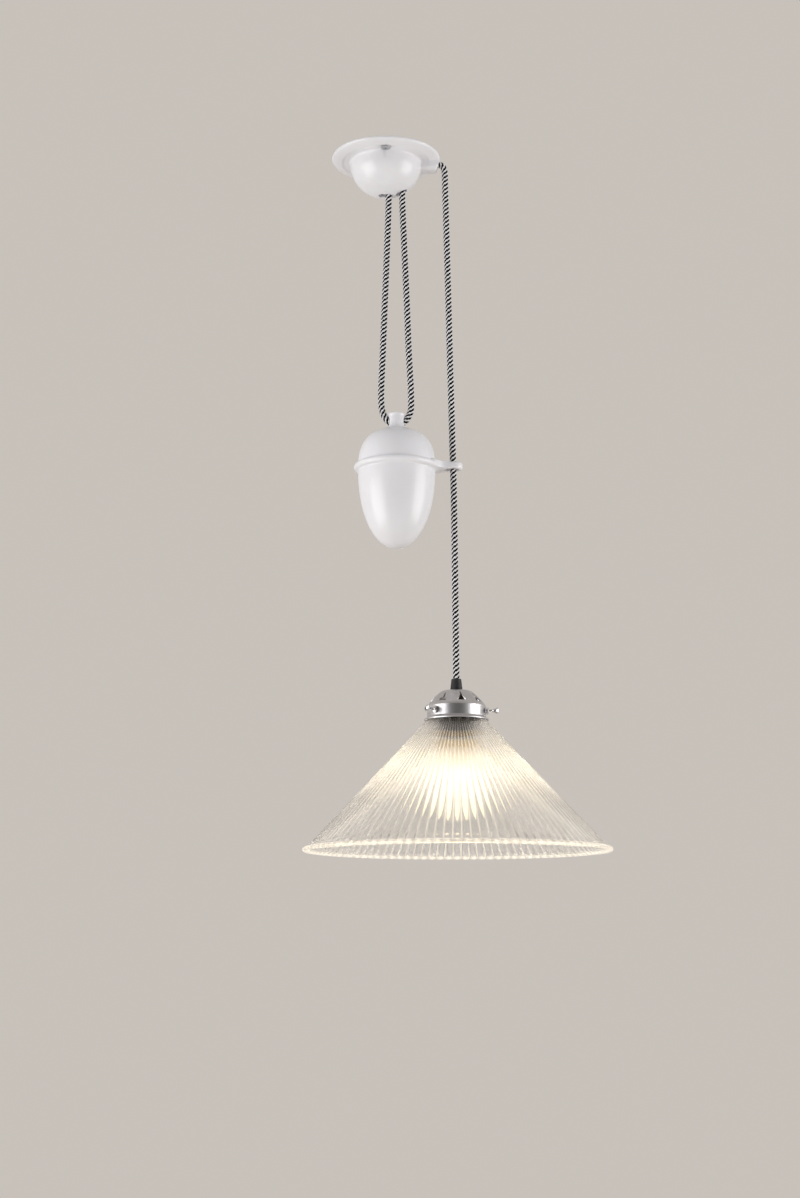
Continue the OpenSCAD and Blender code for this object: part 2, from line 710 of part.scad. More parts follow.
module weight_cap() {
    // The cap's outline is used down to the seam, below which the spigot enters the body.
    outer = [for (q = cap_outline(0)) if (q[1] > seam_z + seam_t) q];
    inner = [for (q = cap_outline(weight_wall)) if (q[1] > seam_z + seam_t) q];
    spigot_out = weight_r - weight_wall - 0.2;
    profile = concat(
        [[outer[0][0], seam_z + seam_t]], outer, reversed(inner),
        [[spigot_out - spigot_t, seam_z + seam_t + 1], [spigot_out - spigot_t, seam_z - spigot_h],
         [spigot_out, seam_z - spigot_h], [spigot_out, seam_z + seam_t]]);
    neck = concat(
        [[0, neck_foot_z - 4], [neck_r + 4.2, neck_foot_z - 2.2], [neck_r + 3.6, neck_foot_z],
         [neck_r + 1.7, neck_foot_z + 1.3], [neck_r + 0.6, neck_foot_z + 3.4]],
        [[neck_r, neck_foot_z + 6], [neck_r, neck_top_z - 3], [neck_r + 0.3, neck_top_z - 1.6],
         [neck_r + 0.6, neck_top_z - 0.8], [neck_r + 0.5, neck_top_z - 0.2],
         [neck_r, neck_top_z], [0, neck_top_z]]);
    color("white") at_weight() difference() {
        rotate_extrude() {
            polygon(profile);
            polygon(neck);
        }
        translate([0, 0, neck_hole_z]) rotate([0, 90, 0])
            cylinder(h = 60, r = neck_hole_r, center = true);
        // The hole's two mouths are rounded up and down for the flex.
        for (s = [0, 180]) rotate([0, 0, s]) intersection() {
            translate([neck_r - mouth_r, 0, neck_hole_z])
                rotate([0, 90, 0]) rotate_extrude() polygon(concat(
                    [[0, 0]],
                    [for (i = [0:8]) let (a = 90 * i / 8)
                        [neck_hole_r + mouth_r * (1 - cos(a)), mouth_r * sin(a)]],
                    [[neck_hole_r + mouth_r, 10], [0, 10]]));
            translate([0, -neck_hole_r, neck_hole_z - 20]) cube([40, 2 * neck_hole_r, 40]);
        }
    }
}

// Plan of the arm from the bead to the guide slot, with hollow corners at the bead.
module arm_plan() {
    root_x = weight_r + 0.2;
    tip_x = guide_near_x - weight_x;
    bead_out = bead_ring_r + bead_r;
    side = guide_r;
    // The hollow corner is as large as the length of the arm leaves room for, up to 14.
    fillet_r = min(14, (tip_x * tip_x - bead_out * bead_out + side * side) / (2 * (bead_out - side)));
    bead_angle = asin((side + fillet_r) / (bead_out + fillet_r));
    centre = (bead_out + fillet_r) * cos(bead_angle);
    difference() {
        polygon([[0, side + fillet_r * 0.7], [centre, side + fillet_r * 0.7], [centre, side],
            [tip_x + 0.1, side], [tip_x + 0.1, -side], [centre, -side],
            [centre, -side - fillet_r * 0.7], [0, -side - fillet_r * 0.7]]);
        for (s = [-1, 1]) translate([centre, s * (side + fillet_r)]) circle(r = fillet_r);
        circle(r = root_x);
    }
}

module guide_section() {
    e = arm_t / 2 - guide_wall / 2;
    for (s = [-1, 1]) translate([0, s * e]) circle(r = guide_wall / 2);
    square([guide_wall, 2 * e], center = true);
}

module weight_body() {
    outer = oval(weight_r, -body_h, waist_z, body_power, 28);
    inner = oval(weight_r - weight_wall, -(body_h - weight_wall), waist_z, body_power, 28);
    mid_r = guide_hole_r + guide_wall / 2;
    color("white") difference() {
        union() {
            at_weight() rotate_extrude() polygon(concat(
                [[weight_r, seam_z]], outer, reversed(inner), [[weight_r - weight_wall, seam_z]]));
            at_weight() difference() {
                translate([0, 0, bead_z]) rotate_extrude()
                    translate([bead_ring_r, 0]) circle(r = bead_r);
                rod(seam_z, seam_z + 10, weight_r + 0.2);
                rod(seam_z - 12, seam_z + 0.001, weight_r - weight_wall / 2);
            }
            translate([weight_x, 0, arm_z - arm_t / 2]) linear_extrude(arm_t) arm_plan();
            translate([guide_far_x, 0, arm_z]) rotate([0, 0, -90])
                rotate_extrude(angle = 180) translate([mid_r, 0]) guide_section();
            for (s = [-1, 1]) translate([guide_near_x, s * mid_r, arm_z]) rotate([90, 0, 90])
                linear_extrude(guide_far_x - guide_near_x) guide_section();
        }
        translate([(guide_near_x + guide_far_x) / 2, 0, arm_z - arm_t])
            linear_extrude(2 * arm_t)
                slot2d(guide_far_x - guide_near_x + 2 * guide_hole_r, 2 * guide_hole_r);
    }
}

module weight_cement() {
    color("lightgray") at_weight()
        ring(seam_z + 0.02, seam_z + seam_t - 0.02, weight_r - 0.4, weight_r - weight_wall + 0.3);
}

module ballast() {
    r = weight_r - weight_wall - ballast_gap;
    h = body_h - weight_wall - ballast_gap;
    spigot_in = weight_r - weight_wall - 0.2 - spigot_t - 0.4;
    lower = [for (q = oval(r, -h, waist_z, body_power, 28)) if (q[1] > ballast_foot_z
        && q[1] < seam_z - spigot_h - 2) q];
    foot_r = body_reach(r, h, ballast_foot_z);
    color("dimgray") at_weight() rotate_extrude() polygon(concat(
        [[0, ballast_top_z], [spigot_in - 2, ballast_top_z], [spigot_in, ballast_top_z - 2],
         [spigot_in, seam_z - spigot_h - 1]],
        lower, [[foot_r, ballast_foot_z], [0, ballast_foot_z]]));
}

module ballast_bedding() {
    gap = 0.1;
    r_out = weight_r - weight_wall - gap;
    h_out = body_h - weight_wall - gap;
    r_in = weight_r - weight_wall - ballast_gap + gap;
    h_in = body_h - weight_wall - ballast_gap + gap;
    foot_z = ballast_foot_z - gap;
    top_out = body_reach(r_out, h_out, bedding_top_z);
    top_in = body_reach(r_in, h_in, bedding_top_z);
    foot_in = body_reach(r_in, h_in, foot_z);
    color("gainsboro") at_weight() rotate_extrude() polygon(concat(
        [[top_out, bedding_top_z]],
        [for (q = oval(r_out, -h_out, waist_z, body_power, 28)) if (q[1] < bedding_top_z) q],
        [[0, foot_z], [foot_in, foot_z]],
        reversed([for (q = oval(r_in, -h_in, waist_z, body_power, 28))
            if (q[1] < bedding_top_z && q[1] > foot_z) q]),
        [[top_in, bedding_top_z]]));
}

// ---- Cord grip and gallery ----

module grip_cap() {
    foot_z = gallery_top_z + 0.1;
    color("black") at_lamp() difference() {
        rotate_extrude() polygon([[0, grip_top_z], [grip_top_r - 0.4, grip_top_z],
            [grip_top_r, grip_top_z - 0.4], [grip_foot_r, foot_z + 0.3],
            [grip_foot_r - 0.3, foot_z], [0, foot_z]]);
        rod(foot_z - 1, grip_top_z + 1, grip_bore_r);
        rod(foot_z - 1, grip_step_z, grip_thread_r + snug);
    }
}

module grip_body() {
    color("dimgray") at_lamp() {
        ring(gallery_top_z, grip_step_z - 0.2, grip_thread_r, grip_bore_r);
        ring(nipple_foot_z, gallery_top_z + 0.05, nipple_r, grip_bore_r);
    }
}

module lock_nut() {
    color("silver") at_lamp() difference() {
        translate([0, 0, nut_z - nut_t]) cylinder(h = nut_t, r = nut_r, $fn = 6);
        rod(nut_z - nut_t - 1, nut_z + 1, nipple_r + snug);
    }
}

module vent2d() {
    apex = gallery_flat_r + 3.6;
    foot = gallery_r - 2.8;
    half = (foot - apex) * 0.46;
    bite = (foot - apex) * 0.86;
    difference() {
        polygon([[apex, 0], [foot, half], [foot + 0.3, 0], [foot, -half]]);
        for (s = [-1, 1]) translate([apex + 1.6, s * (bite + 0.5)]) circle(r = bite);
    }
}

module gallery() {
    slope = (gallery_r - gallery_flat_r) / 16;
    outline = [
        [nipple_r + 0.1, gallery_top_z], [gallery_flat_r, gallery_top_z],
        [gallery_flat_r + 2.6 * slope, gallery_top_z - 1.1],
        [gallery_flat_r + 7.6 * slope, gallery_top_z - shoulder_h * 0.34],
        [gallery_flat_r + 12.2 * slope, gallery_top_z - shoulder_h * 0.66],
        [gallery_flat_r + 15 * slope, gallery_top_z - shoulder_h * 0.88],
        [gallery_r, band_top_z], [gallery_r, band_foot_z],
        [gallery_r + 0.6, band_foot_z - 1.3], [gallery_r + 1.7, band_foot_z - 2.1],
        [lip_r, lip_z]];
    color("lightgray") at_lamp() difference() {
        spun(outline, gallery_t);
        for (i = [0:vent_count - 1]) rotate([0, 0, vent_turn + 360 * i / vent_count])
            translate([0, 0, band_top_z - 1]) linear_extrude(shoulder_h + 4) vent2d();
        for (a = thumb_angles) rotate([0, 0, a]) translate([gallery_r, 0, thumb_z])
            rotate([0, 90, 0]) rod(-gallery_t - 2, 2, thumb_r + 0.1);
    }
}

module thumbscrew(angle) {
    tip = shade_neck_r + soft;
    collar = gallery_r + 0.6;
    color("silver") at_lamp() rotate([0, 0, angle]) translate([0, 0, thumb_z]) rotate([0, 90, 0])
        rotate_extrude() polygon([
            [0, tip], [thumb_r - 0.4, tip], [thumb_r, tip + 0.5], [thumb_r, collar],
            [3.1, collar], [3.5, collar + 0.5], [3.5, collar + 2.3], [3.1, collar + 2.8],
            [1.7, collar + 3.2], [1.5, collar + 4], [1.5, collar + 6.6], [1.8, collar + 8],
            [2.5, collar + 9.6], [3.6, collar + 11.4], [3.3, collar + 11.7],
            [2, collar + 10.8], [0, collar + 10.3]]);
}

module thumbscrew_left() {
    thumbscrew(thumb_angles[0]);
}

module thumbscrew_right() {
    thumbscrew(thumb_angles[1]);
}

module thumbscrew_back() {
    thumbscrew(thumb_angles[2]);
}

// ---- Lampholder ----

module holder_cap() {
    outline = concat(
        [[nipple_r + snug + 2.4, holder_top_z], [nipple_r + snug + 2.4, holder_dome_z + 0.4]],
        arc(holder_r - 6, holder_dome_z - 6, 6, 90, 0, 6),
        [[holder_r, holder_split_z]]);
    inner = concat(
        [[nipple_r + snug, holder_top_z], [nipple_r + snug, holder_dome_z - holder_cap_t + 0.1]],
        arc(holder_r - 6, holder_dome_z - 6, 6 - holder_cap_t, 90, 0, 6),
        [[holder_r - holder_cap_t, holder_split_z]]);
    color("darkgoldenrod") at_lamp() rotate_extrude() polygon(concat(outline, reversed(inner)));
}

module holder_body() {
    color("black") at_lamp() {
        difference() {
            union() {
                rod(holder_foot_z, holder_split_z - 0.1, holder_r);
                rod(holder_split_z - 0.1, base_seat_z, holder_spigot_r);
            }
            rod(holder_foot_z - 1, base_seat_z + 1, holder_in_r);
            rod(holder_foot_z - 1, ring_top_z + 0.2 - 2, holder_in_r + 1);
        }
    }
}

module holder_base() {
    color("white") at_lamp() difference() {
        union() {
            rod(base_seat_z + 0.1, base_top_z, holder_spigot_r - 0.2);
            rod(base_foot_z, base_seat_z + 0.1, holder_in_r - 0.2);
        }
        for (s = [-1, 1]) translate([s * post_x, 0, 0]) rod(base_foot_z - 1, base_top_z + 1, 1.2);
    }
}

module holder_terminals() {
    color("goldenrod") at_lamp() for (s = [-1, 1]) translate([s * post_x, 0, 0]) {
        rod(base_top_z + 0.05, base_top_z + post_h, post_r);
        rod(base_foot_z - 0.1, base_top_z + 0.05, 1.2 - snug);
    }
}

module centre_contact() {
    color("gold") at_lamp() {
        rod(base_foot_z - 1.3, base_foot_z - 0.1, 3.2);
        translate([-post_x - 1.6, -1.6, base_foot_z - 0.8]) cube([post_x - 0.6, 3.2, 0.6]);
    }
}

module screw_shell() {
    color("gold") at_lamp() {
        ring(base_foot_z - 0.1, shell_foot_z, shell_r, shell_r - shell_t);
        intersection() {
            ring(base_foot_z - 0.1, base_foot_z - 0.6, shell_r, shell_r - 1.6);
            translate([0, -40, base_foot_z - 5]) cube([80, 80, 10]);
        }
        translate([post_x - 1.2, -1.6, base_foot_z - 0.6])
            cube([shell_r - post_x, 3.2, 0.5]);
    }
}

module earth_terminal() {
    roof_z = holder_dome_z - holder_cap_t;
    color("goldenrod") at_lamp() translate([0, 9.2, 0]) {
        rod(roof_z - 0.05, roof_z - 3.4, 2.4);
        rod(roof_z - 3.4, roof_z - 4.4, 1.5);
    }
}

module holder_ring() {
    color("goldenrod") at_lamp() difference() {
        rotate_extrude() polygon([[0, ring_top_z], [holder_r + 1.2, ring_top_z],
            [ring_r - 0.6, ring_top_z - 0.9], [ring_r, ring_top_z - 1.8],
            [ring_r, ring_top_z - ring_h + 1.2], [ring_r - 1, ring_top_z - ring_h],
            [0, ring_top_z - ring_h]]);
        rod(holder_foot_z - 0.1, ring_top_z + 1, holder_r + snug);
        rod(ring_top_z - ring_h - 1, ring_top_z + 1, ring_hole_r);
    }
}

// ---- Shade ----

module glass_shade() {
    top = [cone_top_r, cone_top_z];
    rim = [shade_r - shade_rim_r, shade_rim_z];
    back = atan2(top[1] - rim[1], top[0] - rim[0]);
    open = asin(glass_t / 2 / shade_rim_r);
    neck_top_z = neck_bead_z + shade_bead_h;
    outer = [
        [shade_neck_r, neck_bead_z - 4], [shade_neck_r + 0.4, neck_bead_z - 6],
        [cone_top_r - 1.3, cone_top_z + 1.6], top];
    // The bead at the top is what the thumbscrews reach under.
    bead = [
        [shade_neck_r - glass_t, neck_top_z], [shade_bead_r - 1.2, neck_top_z],
        [shade_bead_r, neck_top_z - 1.2], [shade_bead_r, neck_bead_z + 0.6],
        [shade_bead_r - 0.6, neck_bead_z], [shade_neck_r, neck_bead_z]];
    color("lightyellow", 0.5) at_lamp() rotate_extrude() polygon(concat(
        bead, outer,
        arc(rim[0], rim[1], shade_rim_r, back - open, back + open - 360, 16),
        reversed(beside(outer, glass_t))));
}

// ---- Bulb ----

module bulb_cap() {
    color("silver") at_lamp()
        ring(bulb_cap_top_z, bulb_cap_foot_z, bulb_cap_d / 2, bulb_cap_d / 2 - 0.5);
}

module bulb_insulator() {
    color("black") at_lamp() rotate_extrude() polygon([
        [0, bulb_tip_z - 0.6], [5, bulb_tip_z - 0.6], [bulb_cap_d / 2 - 3, bulb_cap_top_z],
        [bulb_cap_d / 2 - 0.7, bulb_cap_top_z - 0.4], [bulb_cap_d / 2 - 0.7, bulb_cap_top_z - 2],
        [0, bulb_cap_top_z - 2]]);
}

module bulb_contact() {
    color("silver") at_lamp() rotate_extrude() polygon([
        [0, bulb_tip_z], [3, bulb_tip_z], [4.6, bulb_tip_z - 0.5], [0, bulb_tip_z - 0.5]]);
}

// Outside of the bulb: the neck, a soft S, and the round end.
function bulb_outline(inset) = concat(
    [[bulb_cap_d / 2 - 0.7 - inset, bulb_cap_foot_z + 5],
     [bulb_cap_d / 2 - 0.7 - inset, bulb_cap_foot_z - 1],
     [bulb_cap_d / 2 - inset, bulb_cap_foot_z - 5],
     [bulb_r * 0.49 - inset, bulb_cap_foot_z - 10],
     [bulb_r * 0.57 - inset, bulb_cap_foot_z - 15],
     [bulb_r * 0.69 - inset, bulb_cap_foot_z - 20.5]],
    arc(0, bulb_centre_z, bulb_r - inset, 36, -90, 24));

module bulb_glass() {
    color("wheat") at_lamp() rotate_extrude()
        polygon(concat(bulb_outline(0), reversed(bulb_outline(bulb_glass_t))));
}

module bulb_stem() {
    color("lightcyan") at_lamp() rotate_extrude() polygon([
        [0, bulb_cap_foot_z + 4], [bulb_cap_d / 2 - 2, bulb_cap_foot_z + 4],
        [bulb_cap_d / 2 - 2, bulb_cap_foot_z + 2.5], [6, bulb_cap_foot_z - 6],
        [3.4, bulb_cap_foot_z - 14], [2, bulb_cap_foot_z - 26], [1.2, bulb_centre_z + 6],
        [0, bulb_centre_z + 5.6]]);
}

// Lead wires, and the glowing wire as three arcs between them
module bulb_filament() {
    r = 13;
    wire = 0.35;
    foot_z = bulb_centre_z + 8;
    color("darkorange") at_lamp() {
        translate([0, 0, bulb_centre_z + 14]) rotate_extrude(angle = 300)
            translate([r, 0]) circle(r = wire + 0.15, $fn = 16);
        for (a = [0, 150, 300]) rotate([0, 0, a])
            translate([1.6, 0, foot_z]) rotate([0, 62.2, 0]) cylinder(h = 12.9, r = wire, $fn = 16);
    }
}

ceiling_rose();
rose_screws();
screw_washers();
mounting_strap();
supply_bush();
wheel_axle();
axle_clip();
wheel_washers();
clamp_bar();
clamp_screws();
terminal_block();
terminal_barrels();
terminal_screws();
terminal_rivets();
rose_live_core();
rose_neutral_core();
rose_earth_core();
flex_loop();
flex_over_wheel();
flex_drop();
ceiling_wheel();
weight_cap();
weight_body();
weight_cement();
ballast();
ballast_bedding();
grip_cap();
grip_body();
flex_tail();
lock_nut();
gallery();
thumbscrew_left();
thumbscrew_right();
thumbscrew_back();
holder_cap();
holder_body();
holder_base();
holder_terminals();
centre_contact();
screw_shell();
earth_terminal();
holder_ring();
lamp_live_core();
lamp_neutral_core();
lamp_earth_core();
glass_shade();
bulb_cap();
bulb_insulator();
bulb_contact();
bulb_glass();
bulb_stem();
bulb_filament();
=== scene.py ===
from math import asin, atan2, cos, exp, hypot, pi, radians, sin, sqrt

import bmesh
import bpy
import numpy as np
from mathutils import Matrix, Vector


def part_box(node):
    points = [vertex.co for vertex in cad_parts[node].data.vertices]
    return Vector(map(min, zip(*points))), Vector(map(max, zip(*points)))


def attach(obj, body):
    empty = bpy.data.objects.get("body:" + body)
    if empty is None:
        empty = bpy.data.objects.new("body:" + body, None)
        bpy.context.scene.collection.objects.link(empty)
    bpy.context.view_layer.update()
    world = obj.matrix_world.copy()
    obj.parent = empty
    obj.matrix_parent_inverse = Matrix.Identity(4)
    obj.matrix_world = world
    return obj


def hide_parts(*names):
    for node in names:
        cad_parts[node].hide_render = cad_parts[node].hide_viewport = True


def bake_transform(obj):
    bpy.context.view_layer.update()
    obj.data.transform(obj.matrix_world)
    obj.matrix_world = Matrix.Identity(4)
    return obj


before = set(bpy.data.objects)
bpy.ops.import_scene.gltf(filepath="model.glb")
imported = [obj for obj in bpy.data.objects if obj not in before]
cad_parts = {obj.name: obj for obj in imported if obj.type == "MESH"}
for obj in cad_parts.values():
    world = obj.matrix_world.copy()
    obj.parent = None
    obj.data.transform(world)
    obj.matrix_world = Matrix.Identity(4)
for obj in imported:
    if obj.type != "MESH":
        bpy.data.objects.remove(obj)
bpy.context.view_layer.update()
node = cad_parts
scene = bpy.context.scene

# ---------------------------------------------------------------------------------------------
# Camera. It stands 1.8 m in front of the light and 0.8 m below the ceiling, tilted up a little,
# with a long lens on a 36 mm high frame.

camera_data = bpy.data.cameras.new("camera")
camera_data.sensor_fit = "VERTICAL"
camera_data.sensor_height = 36
camera_data.lens = 55.6
camera_data.clip_end = 60
camera = bpy.data.objects.new("camera", camera_data)
camera.location = (0.01456, -1.804, -0.810)
level_view, tilt_up = radians(90), radians(10.8)
camera.rotation_euler = (level_view + tilt_up, 0, 0)
scene.collection.objects.link(camera)
scene.camera = camera


# ---------------------------------------------------------------------------------------------
# Flex. Three cores under a braid of twelve cotton yarns, six turning each way and every other
# one black, so that the black yarns read as a three-start spiral. It is fixed in the rose, runs
# down through the counterweight's neck, up over the wheel, out of the nose and down to the lamp.

braid_lead = 0.01335                                    # along the flex for one turn of a yarn
yarns_each_way = 6
rings_each_lead, curve_steps = 40, 40
yarn_radius, yarn_rise = 0.00274, 0.00022               # to a yarn's middle, and how far it weaves
white_half_width, black_half_width = 0.00080, 0.00098
yarn_edge, yarn_crown = -0.00012, 0.00024
yarn_ahead, yarn_around = 0.63, 0.78                    # which way a yarn leans
lining_radius, lining_sides = 0.0024, 8


def new_material(name):
    material = bpy.data.materials.new(name)
    material.use_nodes = True
    tree = material.node_tree
    return material, tree, tree.nodes["Principled BSDF"]


def set_sockets(shader, **values):
    for name, value in values.items():
        shader.inputs[name.replace("_", " ")].default_value = value


def add(tree, kind, inputs=(), **settings):
    """A new node in the tree. Each of its inputs gets a link or a plain value."""
    made = tree.nodes.new(kind)
    for key, value in settings.items():
        setattr(made, key, value)
    for where, value in inputs:
        if isinstance(value, bpy.types.NodeSocket):
            tree.links.new(value, made.inputs[where])
        else:
            made.inputs[where].default_value = value
    return made


def ramp(tree, factor, stops):
    made = add(tree, "ShaderNodeValToRGB", [("Fac", factor)])
    band = made.color_ramp
    while len(band.elements) < len(stops):
        band.elements.new(0.5)
    for element, (at, colour) in zip(band.elements, stops):
        element.position = at
        element.color = (*colour, 1)
    return made.outputs["Color"]


def mix_colours(tree, share, first, second, blend="MIX"):
    made = add(tree, "ShaderNodeMix", [("Factor", share), (6, first), (7, second)],
               data_type="RGBA", blend_type=blend)
    return made.outputs[2]


def object_place(tree):
    return add(tree, "ShaderNodeTexCoord").outputs["Object"]


def noise(tree, place, scale, detail=2.0, **settings):
    made = add(tree, "ShaderNodeTexNoise", [("Vector", place), ("Scale", scale), ("Detail", detail)])
    set_sockets(made, **settings)
    return made.outputs["Fac"]


def bump(tree, height, strength, distance, onto):
    made = add(tree, "ShaderNodeBump", [("Height", height), ("Strength", strength), ("Distance", distance)])
    tree.links.new(made.outputs["Normal"], onto)


def braided_cotton():
    material, tree, shader = new_material("braided_cotton")
    thread = add(tree, "ShaderNodeAttribute", attribute_name="thread")
    dye = noise(tree, object_place(tree), 900.0, 3.0)
    black = ramp(tree, dye, [(0.3, (0.002, 0.002, 0.003)), (0.7, (0.006, 0.006, 0.008))])
    white = ramp(tree, dye, [(0.3, (0.76, 0.75, 0.75)), (0.7, (0.90, 0.89, 0.89))])
    tree.links.new(mix_colours(tree, thread.outputs["Fac"], black, white), shader.inputs["Base Color"])
    along_yarn = add(tree, "ShaderNodeUVMap", uv_map="yarn")
    twist = add(tree, "ShaderNodeTexWave", [("Vector", along_yarn.outputs["UV"]), ("Scale", 2.2),
                ("Distortion", 0.8), ("Detail", 1.0)], bands_direction="DIAGONAL")
    bump(tree, twist.outputs["Fac"], 0.35, 0.00012, shader.inputs["Normal"])
    set_sockets(shader, Roughness=0.9, Specular_IOR_Level=0.05, Sheen_Weight=0.02, Sheen_Roughness=0.5)
    return material


cotton = braided_cotton()


def smooth_route(points, step):
    """Points `step` apart on the smooth curve through the route's points, which are in mm."""
    p = np.array(points, float) / 1000
    dense = []
    for i in range(len(p) - 1):
        a, b, c, d = p[max(i - 1, 0)], p[i], p[i + 1], p[min(i + 2, len(p) - 1)]
        for t in np.linspace(0, 1, curve_steps, endpoint=False):
            dense.append(0.5 * (2 * b + (c - a) * t + (2 * a - 5 * b + 4 * c - d) * t**2
                                + (3 * b - a - 3 * c + d) * t**3))
    dense = np.array(dense + [p[-1]])
    along = np.concatenate([[0], np.cumsum(np.linalg.norm(np.diff(dense, axis=0), axis=1))])
    n = max(2, round(along[-1] / step) + 1)
    at = np.linspace(0, along[-1], n)
    return np.stack([np.interp(at, along, dense[:, k]) for k in range(3)], 1), at


def braid_mesh(name, lines, quads, thread, along):
    """The mesh of lines of corners, with each face's yarn colour and its place along its yarn."""
    rings = len(along)
    corners = np.concatenate(lines)
    mesh = bpy.data.meshes.new(name)
    mesh.vertices.add(len(corners))
    mesh.vertices.foreach_set("co", corners.astype(np.float32).ravel())
    mesh.loops.add(quads.size)
    mesh.loops.foreach_set("vertex_index", quads.astype(np.int32).ravel())
    mesh.polygons.add(len(quads))
    mesh.polygons.foreach_set("loop_start", np.arange(0, quads.size, 4, dtype=np.int32))
    mesh.update(calc_edges=True)
    mesh.attributes.new("thread", "FLOAT", "FACE").data.foreach_set("value", thread)
    fibre = np.stack([(quads // rings) % 4 / 4.0, along[quads % rings] * 1000], 2)
    mesh.uv_layers.new(name="yarn").data.foreach_set("uv", fibre.astype(np.float32).ravel())
    mesh.polygons.foreach_set("use_smooth", np.ones(len(quads), bool))
    mesh.materials.append(cotton)
    return mesh


def braided(name, points, start):
    """The flex along a route in the plane Y = 0, with `start` of it already before the route.
    Each yarn is four lines of corners that close to points at the tips, over a dark lining."""
    route, along = smooth_route(points, braid_lead / rings_each_lead)
    ahead = np.gradient(route, axis=0)
    ahead /= np.linalg.norm(ahead, axis=1)[:, None]
    level = np.array([0.0, 1.0, 0.0])
    out = np.cross(level, ahead)
    rings = len(route)
    tip = np.ones((rings, 1))
    tip[0] = tip[-1] = 0
    lines, faces, thread = [], [], []

    def wrap(sides, inside_out, colour):
        """Closes the newest lines into a tube."""
        first = len(lines) - sides
        i, j = np.arange(rings - 1)[:, None], np.arange(sides)[None, :]
        near, far = (first + j) * rings + i, (first + (j + 1) % sides) * rings + i
        quads = np.stack([near, far, far + 1, near + 1], 2).reshape(-1, 4)
        faces.append(quads[:, ::-1] if inside_out else quads)
        thread.append(np.full(len(quads), colour, np.float32))

    over_and_under = np.cos(2 * pi * yarns_each_way * (along + start) / braid_lead)
    for turn in (1, -1):
        for k in range(yarns_each_way):
            white = (k + (turn < 0)) % 2
            angle = 2 * pi * (turn * (along + start) / braid_lead + k / yarns_each_way)
            radial = np.cos(angle)[:, None] * out + np.sin(angle)[:, None] * level
            around = -np.sin(angle)[:, None] * out + np.cos(angle)[:, None] * level
            side = np.cross(radial, ahead * yarn_ahead + around * (yarn_around * turn))
            middle = route + radial * (yarn_radius + turn * yarn_rise * over_and_under)[:, None]
            half = white_half_width if white else black_half_width
            for across, lift in ((-1, yarn_edge), (-0.5, yarn_crown), (0.5, yarn_crown), (1, yarn_edge)):
                lines.append(middle + (side * (across * half) + radial * lift) * tip)
            wrap(4, turn < 0, white)
    for k in range(lining_sides):
        angle = 2 * pi * k / lining_sides
        lines.append(route + lining_radius * (cos(angle) * out + sin(angle) * level) * tip)
    wrap(lining_sides, False, 0)

    mesh = braid_mesh(name, lines, np.concatenate(faces), np.concatenate(thread), along + start)
    made = bpy.data.objects.new(name, mesh)
    scene.collection.objects.link(made)
    return made, route, along[-1]


loop_points = [
    (2.9, 0, -11.3), (2.9, 0, -20), (2.8, 0, -38), (2.4, 0, -62), (0.7, 0, -111), (-1.1, 0, -160),
    (-2.9, 0, -208), (-4.3, 0, -243), (-4.6, 0, -256), (-4.4, 0, -264), (-3.8, 0, -270),
    (-2.6, 0, -274.6), (-0.8, 0, -278.6), (1.9, 0, -282.4), (5.2, 0, -284.9), (8.2, 0, -285.7),
    (11.2, 0, -285.8), (14.2, 0, -285.7), (17.1, 0, -284.9), (20.4, 0, -282.4), (23, 0, -278.6),
    (24.7, 0, -274.6), (25.6, 0, -270), (25.8, 0, -264), (25.7, 0, -256), (25.3, 0, -243),
    (23.4, 0, -208), (21.6, 0, -160), (19.5, 0, -111), (17.4, 0, -62), (16.8, 0, -40),
    (16.4, 0, -24), (16.4, 0, -13.4)]
flex_in_loop, route, loop_length = braided("flex_in_loop", loop_points, 0)
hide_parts("flex_loop")
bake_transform(flex_in_loop)

wheel_x, wheel_z, bend_radius = 23.6, -13.4, 7.2
bend = [radians(a) for a in range(165, 89, -15)]
over_points = [(16.4, 0, -13.4), (16.4, 0, -12.9)]
over_points += [(wheel_x + bend_radius * cos(a), 0, wheel_z + bend_radius * sin(a)) for a in bend]
over_points += [(36, 0, -6.2), (49, 0, -6.2)]
flex_on_wheel, _, over_length = braided("flex_on_wheel", over_points, loop_length)
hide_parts("flex_over_wheel")
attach(flex_on_wheel, "rose")

drop_points = [
    (49, 0, -6.2), (53.4, 0, -6.2), (56.7, 0, -7.1), (59.2, 0, -9.4), (60.6, 0, -13),
    (61, 0, -18), (61.2, 0, -30), (62.3, 0, -78), (63.4, 0, -126), (64.5, 0, -176),
    (65.5, 0, -224), (66.6, 0, -271), (67.7, 0, -318), (68.1, 0, -335), (68.6, 0, -365),
    (69.2, 0, -426), (69.6, 0, -487), (69.9, 0, -532), (70, 0, -545.8)]
before_drop = loop_length + over_length
flex_in_drop, route, drop_length = braided("flex_in_drop", drop_points, before_drop)
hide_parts("flex_drop")
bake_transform(flex_in_drop)

tail_points = [(70, 0, -545.6), (70, 0, -556), (70, 0, -566)]
flex_in_grip, _, _ = braided("flex_in_grip", tail_points, before_drop + drop_length)
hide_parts("flex_tail")
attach(flex_in_grip, "lamp")


# ---------------------------------------------------------------------------------------------
# Insulated cores. Stranded copper in smooth rubber: brown, blue, and green with a yellow stripe.
# They run from the end of the braid to the terminals, in the rose and again in the lampholder.

